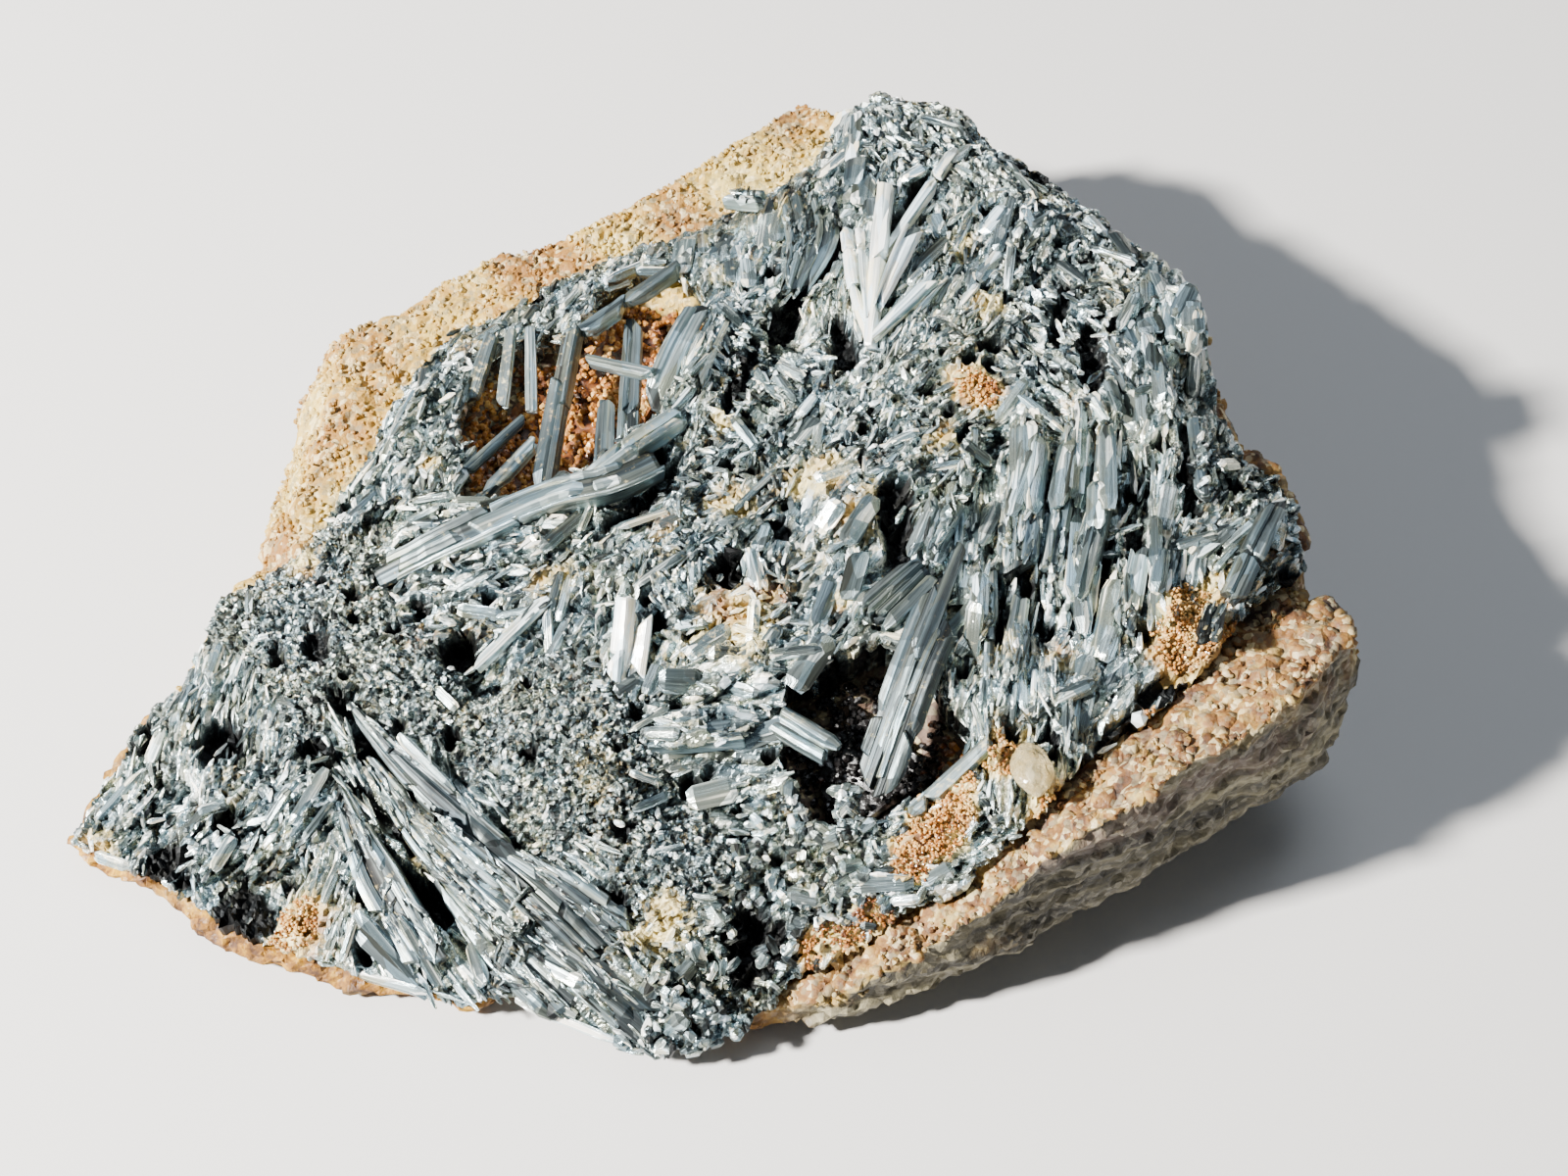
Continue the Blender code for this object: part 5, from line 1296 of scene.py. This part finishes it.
# %% Fine blades and grains
FINE = {  # as for the middle-sized blades
    "fan": (0.5, (1.2, 3.2), (0.25, 0.6), 0.5, 9, 8, (0.4, 1.0)),
    "rib": (0.4, (1.2, 3.2), (0.3, 0.8), 0.6, 9, 8, (0.4, 1.0)),
    "plate": (0.4, (0.8, 2.0), (0.4, 0.9), 0.5, 25, 10, (0.45, 1.0)),
    "fibre": (0.7, (0.9, 2.4), (0.2, 0.5), 0.5, 14, 16, (0.4, 1.0)),
    "mixed": (0.6, (0.6, 2.0), (0.3, 0.8), 0.6, 38, 16, (0.25, 1.0)),
    "sugar": (0.6, (0.4, 0.9), (0.3, 0.7), 0.6, 90, 60, (0.1, 1.0)),
    "coarse": (0.9, (0.7, 1.7), (0.6, 1.2), 0.9, 90, 60, (0.1, 1.0)),
}
dice = random.Random(12)
bm = bmesh.new()
for point, normal, kind, axis, length, width, thick, tones in drawn(FINE, 11000, dice):
    granular = kind in ("sugar", "coarse")
    up = Vector((dice.gauss(0, 1), dice.gauss(0, 1), dice.gauss(0, 1)))
    up = (normal + up * (0.9 if granular else 0.4)).normalized()
    if in_pit(point) and dice.random() > 0.1 or sticks_out(point, axis, length):
        continue
    start = point - axis * length * 0.5 + normal * dice.uniform(-0.35, 0.05)
    matrix = crystal_matrix(start, axis, up, length, width, thick * dice.uniform(0.7, 1.2))
    tone = tones[0] + (tones[1] - tones[0]) * dice.random() ** 1.2
    plant(bm, GRAIN if granular else SPLINTER, matrix, tone=tone, stain=0.7 * stain_at(point.x, point.y))
finished("fine_crystals", bm, small_finish, "stibnite_blade")

# %% [markdown]
# ## Splinters on the blades
#
# Later growth has left splinters on the fan, the upper plate and the ribs, and they tie these blades to the
# crust round them. A place is looked for near a random corner of the blades, from above. Each splinter lies
# in its domain's direction, and is left out where an end would hang in the air.

# %% Splinters on the blades
OVERGROWTH = 2.3  # splinters that are tried for each cubic millimetre of an overgrown blade

dice = random.Random(14)
bm = bmesh.new()
for volume, tree, corners in overgrown:
    for _ in range(round(volume * OVERGROWTH)):
        near = dice.choice(corners)
        x, y = near.x + dice.uniform(-0.8, 0.8), near.y + dice.uniform(-0.8, 0.8)
        point, normal = from_above(tree, x, y)
        if not point or carved(x, y) > 0.6 or normal.z < 0.3:
            continue
        axis = leaning(normal, domain(x, y)[1], 9, 3, dice)
        length, width = dice.uniform(0.7, 2.4), dice.uniform(0.2, 0.55)
        start = point - axis * length * 0.5 - normal * dice.uniform(0.0, 0.22)
        if any(tree.find_nearest(end)[3] > 0.4 for end in (start + axis * length, start)):
            continue
        matrix = crystal_matrix(start, axis, normal, length, width, 0.45 * dice.uniform(0.7, 1.2))
        plant(bm, SPLINTER, matrix, tone=dice.uniform(0.1, 0.74), stain=0.7 * stain_at(x, y))
finished("splinters_on_blades", bm, small_finish, "stibnite_blade")

# %% [markdown]
# ## Druse of the hollows and grains of the borders
#
# The floor of a hollow is covered with tiny crystals that point every way, and patches of this druse lie on
# the crust too. The rock round the crust is a mass of sugary grains, and its rim at the front right is
# botryoidal: small round knobs, made as four lumpy stamps. All are planted in the same manner, where nothing
# covers the rock. The right hollow is in shade, so the tone of its druse falls far below the left one's.

# %% Druse crystals
def grain_matrix(point, normal, lean, widths, lengths, depth, dice, size=1.0):
    """Carries a short grain to a place, let in by depth and leaning at random."""
    axis = (normal + Vector((dice.gauss(0, lean), dice.gauss(0, lean), 0))).normalized()
    up = Vector((dice.uniform(-1, 1), dice.uniform(-1, 1), 0.1)).normalized()
    width = dice.uniform(*widths) * size
    return crystal_matrix(point - axis * depth, axis, up, dice.uniform(*lengths) * size, width, width)


def druse_grain(into, point, normal, shade, dice, size=1.0):
    """Plants one small pointed quartz crystal."""
    matrix = grain_matrix(point, normal, 0.5, (0.35, 0.75), (0.5, 1.0), 0.2, dice, size)
    plant(into, GRAIN, matrix, tone=dice.random() + shade, stain=0.0)


def shade_in_right_hollow(x, most):
    """Tone of the druse in the right hollow: dark as painted shade, and lighter by most at its right side as
    painted light.
    """
    return -2.3 + most * ramp_up(x, 16.5, 19)


DRUSE_DENSITY = 4.5  # crystals to a square millimetre of a hollow's floor
dice = random.Random(13)
for side in ("left", "right"):
    bed = Bed([side + "_hollow_druse"], 0.2)
    bm = bmesh.new()
    for _ in range(round(bed.sums[-1] * DRUSE_DENSITY)):
        point, normal = bed.draw(dice)
        shade = shade_in_right_hollow(point.x, 2.1) if side == "right" else 0.1
        druse_grain(bm, point, normal, shade, dice)
    finished(side + "_druse_crystals", bm, druse_finish, "rusty_druse")
    floor_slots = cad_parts[side + "_hollow_druse"].data.materials
    floor_slots.clear()
    floor_slots.append(floor_finishes[side])

bm = bmesh.new()
for mid_x, mid_y, reach, shade in DRUSE_SPOTS:
    for _ in range(round(reach**2 * 120)):
        x, y = mid_x + dice.uniform(-1.3, 1.3) * reach, mid_y + dice.uniform(-1.3, 1.3) * reach
        point, normal = from_above(lid, x, y)
        if point and druse_near(x, y) > 0.02:
            druse_grain(bm, point + normal * dice.uniform(-0.1, 0.3), normal, shade, dice, 0.42)
finished("crust_druse_crystals", bm, druse_finish, "rusty_druse")

# %% Stamps of the knobs
KNOBS = []
for k in range(4):
    bm = bmesh.new()
    bmesh.ops.create_icosphere(bm, subdivisions=2, radius=1)
    for vert in bm.verts:
        vert.co *= 1 + 0.45 * wander(vert.co, 0.9, 100 + 5 * k)
    for face in bm.faces:
        face.smooth = True
    KNOBS.append(as_mesh(bm, "knob"))
print(len(KNOBS), "knobs")

# %% Grains of the rock
KNOB_SHARE, GRAIN_SHARE = 0.35, 0.8  # of the places drawn

rock_bed = Bed(["matrix"], -0.1)
grains, knobs, lining = bmesh.new(), bmesh.new(), bmesh.new()
for _ in range(24000):
    point, normal = rock_bed.draw(dice)
    if lid.ray_cast(point + normal * 0.05, Vector((0, 0, 1)))[0] or point.z < 1.0:
        continue
    rock = rock_at(point, normal)
    if hollow_share(point) > 0.1:
        shade = shade_in_right_hollow(point.x, 2.0) if point.x > 3 else -0.1
        druse_grain(lining, point, normal, shade, dice)
    elif rock["grey"] > 0.5 or rock["orange"] > 0.4:
        continue
    elif at_rim(point) and wander(point, 2.5, 95) > -0.05:
        radius = dice.uniform(0.2, 0.5) + 0.8 * dice.random() ** 4
        turned = Matrix.Rotation(dice.uniform(0, math.tau), 4, "Z")
        squat = turned @ Matrix.Diagonal((dice.uniform(1.0, 1.5), 1.0, 0.75, 1))
        matrix = Matrix.Translation(point - normal * radius * 0.45) @ Matrix.Scale(radius, 4) @ squat
        if dice.random() < KNOB_SHARE:
            plant(knobs, dice.choice(KNOBS), matrix, **rock)
    elif normal.z > 0.2 and dice.random() < GRAIN_SHARE:
        plant(grains, GRAIN, grain_matrix(point, normal, 0.6, (0.25, 0.65), (0.35, 0.7), 0.35, dice), **rock)
finished("rock_grains", grains, matrix_finish, "matrix")
finished("rim_knobs", knobs, matrix_finish, "matrix")
finished("hollow_wall_druse", lining, druse_finish, "rusty_druse")

# %% [markdown]
# ## The bright grain, a painted glint
#
# One faceted grain at the right rim gets the tone 1, a painted glint that is white in any light. A coarse
# icosphere keeps its flat faces.

# %% Bright grain
bm = bmesh.new()
bmesh.ops.create_icosphere(bm, subdivisions=1, radius=0.7)
for vert in bm.verts:
    vert.co *= 1 + 0.3 * wander(vert.co, 0.4, 90)
bmesh.ops.translate(bm, verts=bm.verts, vec=(32.0, -25.3, 17.0))
tones = bm.verts.layers.float.new("tone")
for vert in bm.verts:
    vert[tones] = 1.0
finished("painted_glint_bead", bm, small_finish, "stibnite_blade")

# %% [markdown]
# ## Camera, floor and light
#
# A flat specimen is best seen from above and in front, here 52 degrees over the floor. A soft key light
# stands low at the left, so that the relief reads by its shadows, and a wide cool light overhead gives the
# metal something to mirror.

# %% Stage
LOOK_AT = Vector((6.17, -9.21, 12.0)) * MM
ELEVATION = 52
DISTANCE = 188.03 * MM
camera = in_scene("camera", bpy.data.cameras.new("camera"))
camera.data.lens = 55
camera.data.sensor_width = 36
camera.data.clip_start = 0.01
rise = math.radians(ELEVATION)
camera.location = LOOK_AT + DISTANCE * Vector((0, -math.cos(rise), math.sin(rise)))
camera.rotation_euler = (math.radians(90 - ELEVATION), 0, 0)
bpy.context.scene.camera = camera

bm = bmesh.new()
bmesh.ops.create_grid(bm, x_segments=1, y_segments=1, size=1.5)
floor = in_scene("floor", as_mesh(bm, "floor"))
floor.location.z = -0.1 * MM
floor_finish, tree, shader = new_finish("floor", Base_Color=(0.54, 0.53, 0.52, 1), Roughness=0.8)
floor.data.materials.append(floor_finish)
floor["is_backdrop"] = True


def area_light(name, azimuth, elevation, distance, size, watts, colour):
    """A square softbox that faces the specimen. Azimuth counts from the camera's side, to the left."""
    light = bpy.data.lights.new(name, "AREA")
    light.size = size
    light.energy = watts
    light.color = colour
    lamp = in_scene(name, light)
    a, e = math.radians(azimuth), math.radians(elevation)
    towards = Vector((-math.sin(a) * math.cos(e), -math.cos(a) * math.cos(e), math.sin(e)))
    lamp.location = Vector((0, 0, 0.01)) + towards * distance
    lamp.rotation_euler = (-towards).to_track_quat("-Z", "Y").to_euler()
    return lamp


area_light("key", 71, 36, 0.6, 0.05, 29.0, (1.0, 0.97, 0.92))
area_light("overhead", 200, 65, 0.7, 0.4, 2.0, (0.82, 0.90, 1.0))
world = bpy.data.worlds.new("studio")
bpy.context.scene.world = world
world.use_nodes = True
fill(world.node_tree.nodes["Background"], Color=(0.62, 0.70, 0.80, 1), Strength=0.2)

# %% [markdown]
# ## Sizes
#
# Last, the box of the dressed specimen is set beside the frame's, and how far it reaches over it is printed.
# The looks mustn't change the size.

# %% Sizes
low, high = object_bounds()
{"cad": [list(cad_low), list(cad_high)], "visual": [list(low), list(high)]}
print("over the frame's box, mm:", [round(x / MM, 2) for x in (*(cad_low - low), *(high - cad_high))])
